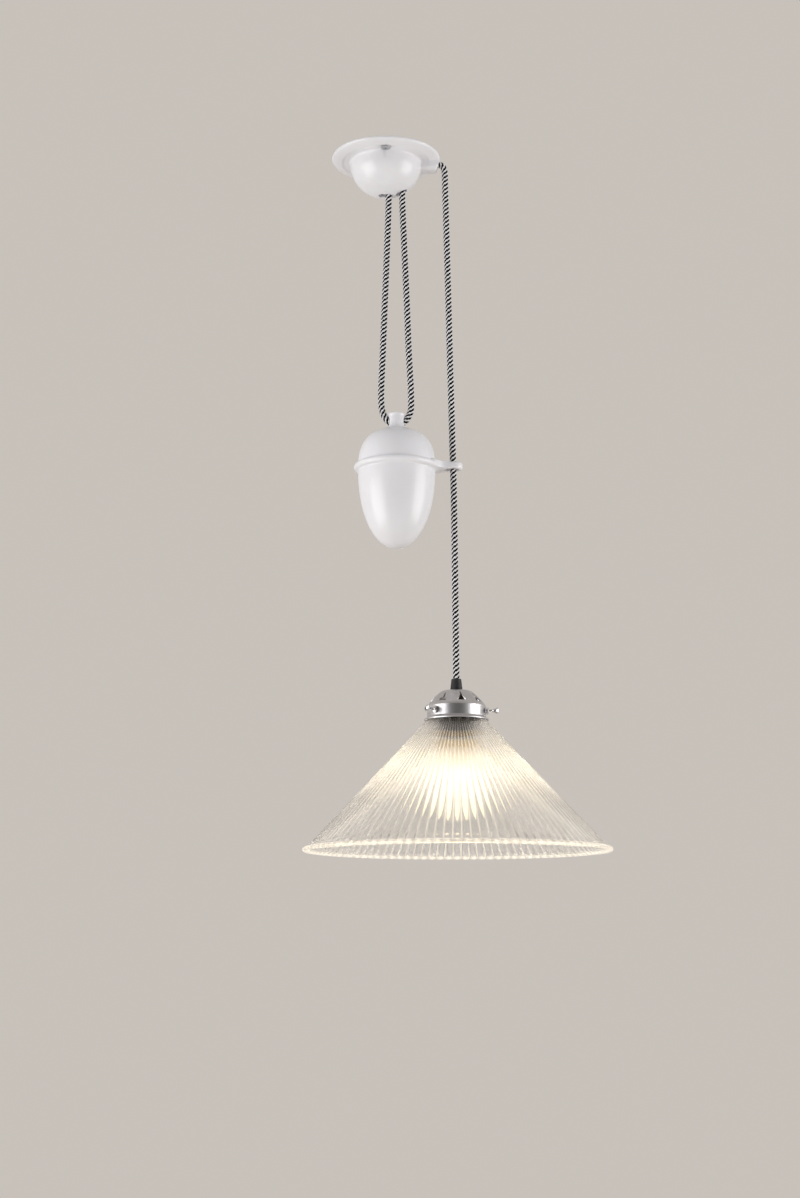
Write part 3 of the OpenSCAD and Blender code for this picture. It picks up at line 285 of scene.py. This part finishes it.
def rubber(name, dark, light, stripe=None):
    material, tree, shader = new_material(name)
    place = object_place(tree)
    colour = ramp(tree, noise(tree, place, 600.0), [(0.35, dark), (0.65, light)])
    if stripe:
        wind = add(tree, "ShaderNodeTexWave", [("Vector", place), ("Scale", 130.0)],
                   bands_direction="DIAGONAL")
        edge = add(tree, "ShaderNodeMath", [(0, wind.outputs["Fac"]), (1, 0.5)],
                   operation="GREATER_THAN")
        colour = mix_colours(tree, edge.outputs[0], colour, (*stripe, 1))
    tree.links.new(colour, shader.inputs["Base Color"])
    set_sockets(shader, Roughness=0.42)
    return material


def dress(names, material):
    """Gives carried-over CAD nodes their finish."""
    for name in names:
        node[name].data.materials.clear()
        node[name].data.materials.append(material)


brown = rubber("core_brown", (0.09, 0.035, 0.015), (0.13, 0.05, 0.02))
blue = rubber("core_blue", (0.01, 0.06, 0.30), (0.02, 0.09, 0.38))
green_and_yellow = rubber("core_earth", (0.05, 0.28, 0.03), (0.07, 0.34, 0.04), stripe=(0.75, 0.62, 0.03))
dress(["rose_live_core", "lamp_live_core"], brown)
dress(["rose_neutral_core", "lamp_neutral_core"], blue)
dress(["rose_earth_core", "lamp_earth_core"], green_and_yellow)


# ---------------------------------------------------------------------------------------------
# Ceiling rose. Plate, dome and nose are one slip-cast porcelain piece under a clear glaze, which
# rounds every edge. A few grey specks show through the glaze.

rose_grain = 0.0007
even_out, push_back = 0.5, -0.53


def glazed_porcelain():
    material, tree, shader = new_material("glazed_porcelain")
    place = object_place(tree)
    body = noise(tree, place, 26.0, 3.0)
    colour = ramp(tree, body, [(0.3, (0.805, 0.795, 0.815)), (0.7, (0.85, 0.84, 0.865))])
    cells = add(tree, "ShaderNodeTexVoronoi", [("Vector", place), ("Scale", 230.0)])
    speck = ramp(tree, cells.outputs["Distance"], [(0.02, (0.55, 0.52, 0.48)), (0.05, (1, 1, 1))])
    few = add(tree, "ShaderNodeMapRange", [("Value", noise(tree, place, 90.0)), ("From Min", 0.62),
              ("From Max", 0.66)])
    faint = add(tree, "ShaderNodeMath", [(0, few.outputs[0]), (1, 0.5)], operation="MULTIPLY")
    tree.links.new(mix_colours(tree, faint.outputs[0], colour, speck, "MULTIPLY"),
                   shader.inputs["Base Color"])
    bump(tree, noise(tree, place, 60.0), 0.12, 0.0006, shader.inputs["Coat Normal"])
    gloss = add(tree, "ShaderNodeMapRange", [("Value", body), ("To Min", 0.30), ("To Max", 0.42)])
    tree.links.new(gloss.outputs[0], shader.inputs["Roughness"])
    set_sockets(shader, Coat_Weight=0.4, Coat_Roughness=0.16, Coat_IOR=1.5,
                Subsurface_Weight=0.12, Subsurface_Scale=0.004, Subsurface_Radius=(1.0, 0.85, 0.7))
    return material


glaze = glazed_porcelain()


def baked(made):
    """The mesh that an object's modifiers give, which are then removed."""
    shaped = made.evaluated_get(bpy.context.evaluated_depsgraph_get())
    mesh = bpy.data.meshes.new_from_object(shaped)
    made.modifiers.clear()
    mesh.name = made.name
    made.data = mesh
    return mesh


def cast(name, from_node, body, grain):
    """A porcelain piece in the CAD's shape, its edges rounded as by the glaze. Each smoothing
    pass is undone by a push outward, so nothing shrinks, and nothing passes the node's box."""
    mesh = node[from_node].data.copy()
    mesh.materials.clear()
    made = bpy.data.objects.new(name, mesh)
    scene.collection.objects.link(made)
    work = bmesh.new()
    work.from_mesh(mesh)
    bmesh.ops.remove_doubles(work, verts=work.verts, dist=1e-6)
    work.to_mesh(mesh)
    work.free()
    skin = made.modifiers.new("skin", "REMESH")
    skin.mode = "VOXEL"
    skin.voxel_size = grain
    for step in [even_out] * 3 + [push_back, even_out] * 10 + [push_back] * 2:
        made.modifiers.new("even", "SMOOTH").factor = step
    mesh = baked(made)
    low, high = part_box(from_node)
    for corner in mesh.vertices:
        corner.co = [min(max(c, a), b) for c, a, b in zip(corner.co, low, high)]
    mesh.polygons.foreach_set("use_smooth", np.ones(len(mesh.polygons), bool))
    mesh.materials.clear()
    mesh.materials.append(glaze)
    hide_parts(from_node)
    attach(made, body)


cast("rose_casting", "ceiling_rose", "rose", rose_grain)


# ---------------------------------------------------------------------------------------------
# Rose screws. Slotted steel screws, zinc plated, which hold the rose up on its strap. Each has a
# grey fibre washer under its head, so that the metal doesn't chip the glaze.

def metal(name, dark, light, roughness, scratched):
    material, tree, shader = new_material(name)
    cloud = noise(tree, object_place(tree), 250.0, 4.0)
    tree.links.new(ramp(tree, cloud, [(0.3, dark), (0.7, light)]), shader.inputs["Base Color"])
    spread = add(tree, "ShaderNodeMapRange", [("Value", cloud), ("To Min", roughness * 0.8),
                 ("To Max", roughness * 1.3)])
    tree.links.new(spread.outputs[0], shader.inputs["Roughness"])
    if scratched:
        bump(tree, cloud, scratched, 0.0001, shader.inputs["Normal"])
    set_sockets(shader, Metallic=1.0)
    return material


def moulded(name, dark, light, roughness, scale=400.0):
    material, tree, shader = new_material(name)
    grain = noise(tree, object_place(tree), scale, 3.0)
    tree.links.new(ramp(tree, grain, [(0.35, dark), (0.65, light)]), shader.inputs["Base Color"])
    bump(tree, grain, 0.2, 0.0001, shader.inputs["Normal"])
    set_sockets(shader, Roughness=roughness)
    return material


zinc = metal("zinc_plate", (0.55, 0.56, 0.58), (0.72, 0.73, 0.74), 0.32, 0.2)
dress(["rose_screws"], zinc)
dress(["screw_washers"], moulded("grey_fibre", (0.30, 0.29, 0.28), (0.40, 0.39, 0.37), 0.8))


# ---------------------------------------------------------------------------------------------
# Mounting strap and what it carries. Pressed steel, zinc plated, screwed to the ceiling. It holds
# a nylon wheel on a steel axle between brass washers, a rubber bush for the supply cable, and the
# bar that clamps the flex.

brass = metal("brass", (0.60, 0.40, 0.13), (0.76, 0.54, 0.22), 0.28, 0.1)
dress(["mounting_strap", "clamp_bar", "clamp_screws", "wheel_axle", "axle_clip"], zinc)
dress(["wheel_washers"], brass)
dress(["ceiling_wheel"], moulded("nylon", (0.66, 0.63, 0.55), (0.74, 0.71, 0.63), 0.45))
dress(["supply_bush"], moulded("black_rubber", (0.008, 0.008, 0.008), (0.02, 0.02, 0.02), 0.7))


# ---------------------------------------------------------------------------------------------
# Terminal block. White moulded plastic, riveted to the strap, with a brass barrel for each core
# and two plated screws in each barrel.

nickel = metal("nickel_plate", (0.62, 0.58, 0.50), (0.76, 0.72, 0.64), 0.22, 0.1)
dress(["terminal_block"], moulded("white_moulding", (0.62, 0.62, 0.60), (0.70, 0.70, 0.68), 0.5))
dress(["terminal_barrels"], brass)
dress(["terminal_screws"], nickel)
dress(["terminal_rivets"], zinc)


# ---------------------------------------------------------------------------------------------
# Counterweight. Two porcelain castings, glazed and cemented together behind the bead: the cap
# with the pierced neck, and the body with the arm that guides the flex. A sand-cast iron slug
# inside, bedded in plaster, makes it twice as heavy as the lamp.

cap_grain, body_grain = 0.0006, 0.00076


def cast_iron():
    material, tree, shader = new_material("cast_iron")
    sand = noise(tree, object_place(tree), 180.0, 6.0)
    tree.links.new(ramp(tree, sand, [(0.3, (0.03, 0.03, 0.032)), (0.7, (0.09, 0.085, 0.08))]),
                   shader.inputs["Base Color"])
    bump(tree, sand, 0.8, 0.0005, shader.inputs["Normal"])
    set_sockets(shader, Metallic=0.7, Roughness=0.6)
    return material


cast("weight_top", "weight_cap", "weight", cap_grain)
cast("weight_bottom", "weight_body", "weight", body_grain)
plaster = moulded("plaster", (0.50, 0.48, 0.44), (0.62, 0.60, 0.56), 0.9, 120.0)
dress(["weight_cement", "ballast_bedding"], plaster)
dress(["ballast"], cast_iron())


# ---------------------------------------------------------------------------------------------
# Cord grip. A matt black moulded cone screwed down on the threaded body that passes through the
# gallery's top, with a plated lock nut below.

matt_black = moulded("matt_black", (0.010, 0.010, 0.011), (0.022, 0.022, 0.023), 0.55, 700.0)
dress(["grip_cap", "grip_body"], matt_black)
dress(["lock_nut"], zinc)


# ---------------------------------------------------------------------------------------------
# Gallery. Spun aluminium with eight pressed vents, polished along the lathe's turn, so that its
# band reflects in upright stripes and its finest scratches run round it.

lamp_x = 0.070


def spun_aluminium():
    material, tree, shader = new_material("spun_aluminium")
    centred = add(tree, "ShaderNodeMapping", [("Vector", object_place(tree)),
                  ("Location", (-lamp_x, 0, 0))]).outputs[0]
    height = add(tree, "ShaderNodeSeparateXYZ", [("Vector", centred)]).outputs["Z"]
    rings = add(tree, "ShaderNodeCombineXYZ", [("Z", height)]).outputs[0]
    turned = noise(tree, rings, 2600.0, 4.0, Roughness=0.7)
    cloud = noise(tree, centred, 70.0, 3.0)
    tree.links.new(ramp(tree, cloud, [(0.3, (0.56, 0.555, 0.57)), (0.7, (0.66, 0.655, 0.67))]),
                   shader.inputs["Base Color"])
    spread = add(tree, "ShaderNodeMapRange", [("Value", turned), ("To Min", 0.28), ("To Max", 0.42)])
    tree.links.new(spread.outputs[0], shader.inputs["Roughness"])
    bump(tree, turned, 0.25, 0.00004, shader.inputs["Normal"])
    set_sockets(shader, Metallic=1.0)
    return material


dress(["gallery"], spun_aluminium())


# ---------------------------------------------------------------------------------------------
# Thumbscrews. Turned brass, chrome plated, each with a flared end to grip. Their tips pass through
# the gallery's band and catch under the bead of the shade's neck.

chrome = metal("chrome_plate", (0.74, 0.74, 0.76), (0.84, 0.84, 0.85), 0.12, 0.05)
dress(["thumbscrew_left", "thumbscrew_right", "thumbscrew_back"], chrome)


# ---------------------------------------------------------------------------------------------
# Lampholder. A black moulded body under a bronzed brass cap, a ceramic base with brass contacts,
# a nickel-plated screw shell, and a brass ring at its mouth, which the bulb lights from below.

dress(["holder_body"], moulded("black_moulding", (0.012, 0.010, 0.010), (0.03, 0.026, 0.024), 0.3))
dress(["holder_cap"], metal("bronzed_brass", (0.045, 0.032, 0.020), (0.10, 0.07, 0.04), 0.4, 0))
dress(["holder_ring", "holder_terminals", "centre_contact", "earth_terminal"], brass)
dress(["screw_shell"], nickel)
dress(["holder_base"], moulded("steatite", (0.62, 0.59, 0.53), (0.72, 0.70, 0.65), 0.7, 150.0))


# ---------------------------------------------------------------------------------------------
# Shade. Pressed clear glass, smooth inside, with rounded ribs outside that start under the gallery,
# grow with the cone and end at a plain bead round the rim. Painted glow, warm emission in the glass,
# stands in for the bulb's light in the seams between the ribs, in the bead, and in a ring half way down.

ribs = 106
half_rib = pi / ribs
rib_depth = 0.46
rib_steps = 8
glass_wall = 0.0033
rim_bead = 0.0021
rim_r, rim_z = 0.1479, -0.7130
top_r, top_z = 0.0285, -0.5865
neck_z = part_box("glass_shade")[1].z
neck_bead = [(0.0221, 0.0), (0.0240, 0.0), (0.02545, -0.0002), (0.0264, -0.0008), (0.0266, -0.0018),
             (0.0261, -0.0026), (0.0252, -0.0030), (0.0250, -0.0036), (0.0250, -0.0055),
             (0.0252, -0.0075)]
bulb_middle_z, bulb_reach = -0.655, 0.068
cone_wide, cone_deep = rim_r - top_r, rim_z - top_z
cone_long = hypot(cone_wide, cone_deep)
slope_r, slope_z = cone_wide / cone_long, cone_deep / cone_long
sharp_edge = radians(35)


def glass_with_painted_glow():
    material, tree, shader = new_material("glass_with_painted_glow")
    seed = noise(tree, object_place(tree), 45.0)
    bump(tree, seed, 0.10, 0.0008, shader.inputs["Normal"])
    tree.links.new(ramp(tree, seed, [(0.3, (0.985, 0.98, 0.965)), (0.7, (1.0, 0.998, 0.99))]),
                   shader.inputs["Base Color"])
    # The emission is painted glow, not a lamp: the painted seam glow times the bulb's painted reach, warmer
    # nearer the bulb.
    painted_glow = add(tree, "ShaderNodeAttribute", attribute_name="painted_glow").outputs["Fac"]
    painted_bulb_reach = add(tree, "ShaderNodeAttribute", attribute_name="painted_bulb_reach").outputs["Fac"]
    painted_seam_glow = add(tree, "ShaderNodeMath", [(0, painted_glow), (1, painted_bulb_reach)], operation="MULTIPLY")
    tree.links.new(painted_seam_glow.outputs[0], shader.inputs["Emission Strength"])
    tree.links.new(ramp(tree, painted_bulb_reach, [(0.2, (1.0, 0.88, 0.68)), (1.0, (1.0, 0.85, 0.58))]),
                   shader.inputs["Emission Color"])
    set_sockets(shader, Transmission_Weight=1.0, Roughness=0.045, IOR=1.5, Alpha=0.72)
    return material


def shade_outline():
    """The wall's outline, from the neck down the ribs, round the rim bead and back up inside.
    Each point has its radius, height, share of the ribs' depth and how much painted glow its seams get."""
    line = [(r, neck_z + down, 0, 0) for r, down in neck_bead]
    line += [(0.0260, top_z + 0.0034, 0, 0), (0.0271, top_z + 0.0016, 0.1, 0), (top_r, top_z, 0.6, 0)]
    for t in (0.02, 0.05, 0.12, 0.22, 0.34, 0.46, 0.58, 0.70, 0.82, 0.90, 0.95, 0.975):
        share = 1.0 if t < 0.96 else 0.55
        painted_seam_glow = min(1.0 - 0.3 * t, max(0.15, 3 * t))
        line.append((top_r + cone_wide * t, top_z + cone_deep * t, share, painted_seam_glow))
    gap = asin(glass_wall / 2 / rim_bead)
    first = atan2(-slope_z, -slope_r) - gap
    for k in range(11):
        a = first - (2 * pi - 2 * gap) * k / 10
        line.append((rim_r + rim_bead * cos(a), rim_z + rim_bead * sin(a), 0, 0))
    for t in (0.97, 0.90, 0.80, 0.65, 0.50, 0.35, 0.20, 0.10, 0.03, 0.0):
        line.append((top_r + cone_wide * t + slope_z * glass_wall,
                     top_z + cone_deep * t - slope_r * glass_wall, 0, 0.9 if t > 0.7 else 0))
    line += [(0.0225, top_z + 0.0006, 0, 0), (0.0218, top_z + 0.0040, 0, 0),
             (0.0217, neck_z - 0.0050, 0, 0), (0.0217, neck_z - 0.0015, 0, 0)]
    return line


def painted_glass_glow(r, z, across, painted_seam_glow):
    """How much painted glow (emission) the glass gets at a point: `across` is 0 on a rib's crest and 1 in
    its seams, whose painted glow covers the last quarter of the way."""
    down = (r - top_r) / cone_wide
    seam = max(0.0, across * 4 - 3) * painted_seam_glow
    bead = (hypot(r - rim_r, z - rim_z) < rim_bead * 1.05) * (1.25 - 0.9 * across)
    # A painted band of glow over the middle of the cone, and a painted ring of glow near half way down.
    haze = min(1.0, max(0.0, (down - 0.14) / 0.2)) * min(1.0, max(0.0, (0.70 - down) / 0.18))
    ring = exp(-((down - 0.40) / 0.10) ** 2)
    return seam + bead + 0.11 * haze + 0.10 * ring


def shade_sector():
    """One rib's slice of the shade."""
    line = shade_outline()
    work = bmesh.new()
    painted_glow = work.verts.layers.float.new("painted_glow")
    painted_bulb_reach = work.verts.layers.float.new("painted_bulb_reach")
    columns = []
    for k in range(rib_steps + 1):
        t = -1 + 2 * k / rib_steps
        a = half_rib * t
        column = []
        for r, z, share, painted_seam_glow in line:
            sink = share * rib_depth * half_rib * r * (1 - sqrt(1 - (0.97 * t) ** 2))
            rr, zz = r + slope_z * sink, z - slope_r * sink
            corner = work.verts.new((lamp_x + rr * cos(a), rr * sin(a), zz))
            corner[painted_glow] = painted_glass_glow(r, z, abs(t), painted_seam_glow)
            # How near the bulb a point is, which sets the strength and warmth of its painted glow.
            corner[painted_bulb_reach] = min(1.0, (bulb_reach / hypot(r, z - bulb_middle_z)) ** 1.3)
            column.append(corner)
        columns.append(column)
    n = len(line)
    for left, right in zip(columns, columns[1:]):
        for i in range(n):
            j = (i + 1) % n
            work.faces.new((left[i], left[j], right[j], right[i]))
    mesh = bpy.data.meshes.new("shade_sector")
    work.to_mesh(mesh)
    work.free()
    return mesh


def round_the_lamp(name):
    """A tree that repeats its input round the lamp's axis and joins the copies into one skin."""
    tree = bpy.data.node_groups.new(name, "GeometryNodeTree")
    for socket, kind in (("Sector", "Geometry"), ("Copies", "Int"), ("Axis X", "Float"),
                         ("Sharp Angle", "Float"), ("Material", "Material")):
        tree.interface.new_socket(socket, in_out="INPUT", socket_type="NodeSocket" + kind)
    tree.interface.new_socket("Piece", in_out="OUTPUT", socket_type="NodeSocketGeometry")
    given = tree.nodes.new("NodeGroupInput").outputs
    there = add(tree, "ShaderNodeCombineXYZ", [("X", given["Axis X"])])
    back = add(tree, "ShaderNodeVectorMath", [(0, there.outputs[0])], operation="SCALE")
    back.inputs["Scale"].default_value = -1
    centred = add(tree, "GeometryNodeTransform", [("Geometry", given["Sector"]),
                  ("Translation", back.outputs[0])])
    places = add(tree, "GeometryNodeMeshLine", [("Count", given["Copies"]),
                 ("Start Location", there.outputs[0]), ("Offset", (0, 0, 0))])
    step = add(tree, "ShaderNodeMath", [(0, 2 * pi), (1, given["Copies"])], operation="DIVIDE")
    index = tree.nodes.new("GeometryNodeInputIndex")
    angle = add(tree, "ShaderNodeMath", [(0, index.outputs[0]), (1, step.outputs[0])],
                operation="MULTIPLY")
    turn = add(tree, "FunctionNodeAxisAngleToRotation", [("Axis", (0, 0, 1)), ("Angle", angle.outputs[0])])
    copies = add(tree, "GeometryNodeInstanceOnPoints", [("Points", places.outputs[0]),
                 ("Instance", centred.outputs[0]), ("Rotation", turn.outputs[0])])
    real = add(tree, "GeometryNodeRealizeInstances", [("Geometry", copies.outputs[0])])
    joined = add(tree, "GeometryNodeMergeByDistance", [("Geometry", real.outputs[0]), ("Distance", 2e-6)])
    smooth = add(tree, "GeometryNodeSetShadeSmooth", [("Geometry", joined.outputs[0]),
                 ("Shade Smooth", True)], domain="FACE")
    bend = tree.nodes.new("GeometryNodeInputMeshEdgeAngle")
    sharp = add(tree, "FunctionNodeCompare", [(0, bend.outputs["Unsigned Angle"]),
                (1, given["Sharp Angle"])], operation="GREATER_THAN", data_type="FLOAT")
    crisp = add(tree, "GeometryNodeSetShadeSmooth", [("Geometry", smooth.outputs[0]),
                ("Selection", sharp.outputs[0]), ("Shade Smooth", False)], domain="EDGE")
    coated = add(tree, "GeometryNodeSetMaterial", [("Geometry", crisp.outputs[0]),
                 ("Material", given["Material"])])
    out = tree.nodes.new("NodeGroupOutput")
    tree.links.new(coated.outputs[0], out.inputs["Piece"])
    return tree


def repeated(name, sector, copies, sharp, material):
    """The sector repeated round the lamp, as one plain mesh."""
    made = bpy.data.objects.new(name, sector)
    scene.collection.objects.link(made)
    sector.materials.append(material)
    tree = round_the_lamp(name + "_pattern")
    pattern = made.modifiers.new("pattern", "NODES")
    pattern.node_group = tree
    values = {"Copies": copies, "Axis X": lamp_x, "Sharp Angle": sharp, "Material": material}
    for item in tree.interface.items_tree:
        if item.in_out == "INPUT" and item.name in values:
            pattern[item.identifier] = values[item.name]
    baked(made)
    return made


shade_glass = repeated("shade_glass", shade_sector(), ribs, sharp_edge, glass_with_painted_glow())
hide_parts("glass_shade")
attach(shade_glass, "lamp")


# ---------------------------------------------------------------------------------------------
# Bulb. A clear filament bulb with a nickel-plated screw cap, alight. The glowing wire lights its
# glass from inside: brightest in the middle, warmest near the cap.

bulb_foot_z, bulb_cap_z = -0.700, -0.600


def lit_glass():
    material, tree, shader = new_material("lit_bulb_glass")
    height = add(tree, "ShaderNodeSeparateXYZ", [("Vector", object_place(tree))]).outputs["Z"]
    up = add(tree, "ShaderNodeMapRange", [("Value", height), ("From Min", bulb_foot_z),
             ("From Max", bulb_cap_z)]).outputs[0]
    warmth = ramp(tree, up, [(0.0, (1.0, 0.74, 0.42)), (0.30, (1.0, 0.84, 0.56)), (0.45, (1.0, 0.90, 0.68)),
                             (0.62, (1.0, 0.84, 0.56)), (0.85, (1.0, 0.58, 0.22))])
    tree.links.new(warmth, shader.inputs["Emission Color"])
    light = ramp(tree, up, [(at, (level,) * 3) for at, level in (
        (0.05, 0.60), (0.20, 0.90), (0.38, 1.0), (0.58, 0.55), (0.74, 0.14), (0.88, 0.05))])
    strength = add(tree, "ShaderNodeMapRange", [("Value", light), ("To Max", 1.5)])
    tree.links.new(strength.outputs[0], shader.inputs["Emission Strength"])
    haze = noise(tree, object_place(tree), 60.0)
    tree.links.new(ramp(tree, haze, [(0.3, (0.9, 0.86, 0.78)), (0.7, (0.95, 0.92, 0.86))]),
                   shader.inputs["Base Color"])
    set_sockets(shader, Roughness=0.25)
    return material


def stem_glass():
    material, tree, shader = new_material("stem_glass")
    tint = noise(tree, object_place(tree), 200.0)
    tree.links.new(ramp(tree, tint, [(0.3, (0.9, 0.95, 0.94)), (0.7, (0.97, 0.99, 0.98))]),
                   shader.inputs["Base Color"])
    set_sockets(shader, Transmission_Weight=1.0, Roughness=0.05, IOR=1.5)
    return material


def glowing_wire():
    material, tree, shader = new_material("glowing_wire")
    heat = noise(tree, object_place(tree), 300.0)
    tree.links.new(ramp(tree, heat, [(0.3, (1.0, 0.62, 0.22)), (0.7, (1.0, 0.78, 0.42))]),
                   shader.inputs["Emission Color"])
    set_sockets(shader, Emission_Strength=30.0, Roughness=0.5)
    return material


dress(["bulb_glass"], lit_glass())
dress(["bulb_stem"], stem_glass())
dress(["bulb_filament"], glowing_wire())
dress(["bulb_cap"], nickel)
dress(["bulb_contact"], metal("solder", (0.35, 0.35, 0.37), (0.5, 0.5, 0.52), 0.45, 0))
dress(["bulb_insulator"], moulded("cap_glass", (0.01, 0.01, 0.012), (0.03, 0.03, 0.035), 0.2))


# ---------------------------------------------------------------------------------------------
# The room. A pale floor two metres below the ceiling, a plain pale background and a large soft
# light on each side. The camera sees a little over half of the floor's tone as the background's
# colour. In mirrors the background darkens towards the front of the room.

backdrop = (0.575, 0.535, 0.495)
backdrop_share = 0.55
floor_z, floor_reach = -2.0, 4.0


def soft_light(name, at, aim, wide, tall, watts):
    data = bpy.data.lights.new(name, "AREA")
    data.shape = "RECTANGLE"
    data.size, data.size_y = wide, tall
    data.energy = watts
    made = bpy.data.objects.new(name, data)
    made.location = at
    made.rotation_euler = (Vector(aim) - Vector(at)).to_track_quat("-Z", "Y").to_euler()
    made.visible_transmission = False
    scene.collection.objects.link(made)


def pale_paper():
    material, tree, shader = new_material("pale_paper")
    fibre = noise(tree, object_place(tree), 3.0)
    tree.links.new(ramp(tree, fibre, [(0.3, (0.74, 0.705, 0.66)), (0.7, (0.78, 0.74, 0.695))]),
                   shader.inputs["Base Color"])
    set_sockets(shader, Roughness=0.9)
    ray = add(tree, "ShaderNodeLightPath").outputs
    mirrored = add(tree, "ShaderNodeMath", [(0, ray["Is Glossy Ray"]), (1, ray["Is Transmission Ray"])],
                   operation="MAXIMUM")
    in_view = add(tree, "ShaderNodeMath", [(0, ray["Is Camera Ray"]), (1, backdrop_share)],
                  operation="MULTIPLY")
    share = add(tree, "ShaderNodeMath", [(0, mirrored.outputs[0]), (1, in_view.outputs[0])],
                operation="MAXIMUM")
    plain = add(tree, "ShaderNodeEmission", [("Color", (*backdrop, 1))])
    either = add(tree, "ShaderNodeMixShader", [("Fac", share.outputs[0]), (1, shader.outputs["BSDF"]),
                 (2, plain.outputs[0])])
    tree.links.new(either.outputs[0], tree.nodes["Material Output"].inputs["Surface"])
    return material


def room_light():
    world = bpy.data.worlds.new("room")
    world.use_nodes = True
    tree = world.node_tree
    ray = add(tree, "ShaderNodeLightPath").outputs
    seen = add(tree, "ShaderNodeMath", [(0, ray["Is Camera Ray"]), (1, ray["Is Transmission Ray"])],
               operation="MAXIMUM")
    way = add(tree, "ShaderNodeTexCoord").outputs["Generated"]
    depth = add(tree, "ShaderNodeSeparateXYZ", [("Vector", way)]).outputs["Y"]
    from_front = add(tree, "ShaderNodeMapRange", [("Value", depth), ("From Min", -0.95),
                     ("From Max", -0.1)])
    mirrored = ramp(tree, from_front.outputs[0],
                    [(0.0, (0.10, 0.095, 0.09)), (0.35, (0.30, 0.285, 0.27)), (1.0, backdrop)])
    around = mix_colours(tree, ray["Is Glossy Ray"], (0.50, 0.495, 0.495, 1), mirrored)
    shown = mix_colours(tree, seen.outputs[0], around, (*backdrop, 1))
    tree.links.new(shown, tree.nodes["Background"].inputs["Color"])
    tree.nodes["Background"].inputs["Strength"].default_value = 1.0
    return world


soft_light("softbox_right", (1.70, -0.40, -0.55), (0.03, 0, -0.4), 1.2, 1.2, 16)
soft_light("softbox_left", (-1.52, -0.70, -0.80), (0.03, 0, -0.35), 1.5, 1.3, 20)

floor_mesh = bpy.data.meshes.new("floor")
floor_corners = [(x * floor_reach, y * floor_reach, floor_z) for x, y in ((-1, -1), (1, -1), (1, 1), (-1, 1))]
floor_mesh.from_pydata(floor_corners, [], [(0, 1, 2, 3)])
floor_mesh.materials.append(pale_paper())
floor = bpy.data.objects.new("floor", floor_mesh)
scene.collection.objects.link(floor)

scene.world = room_light()
scene.view_settings.view_transform = "Standard"
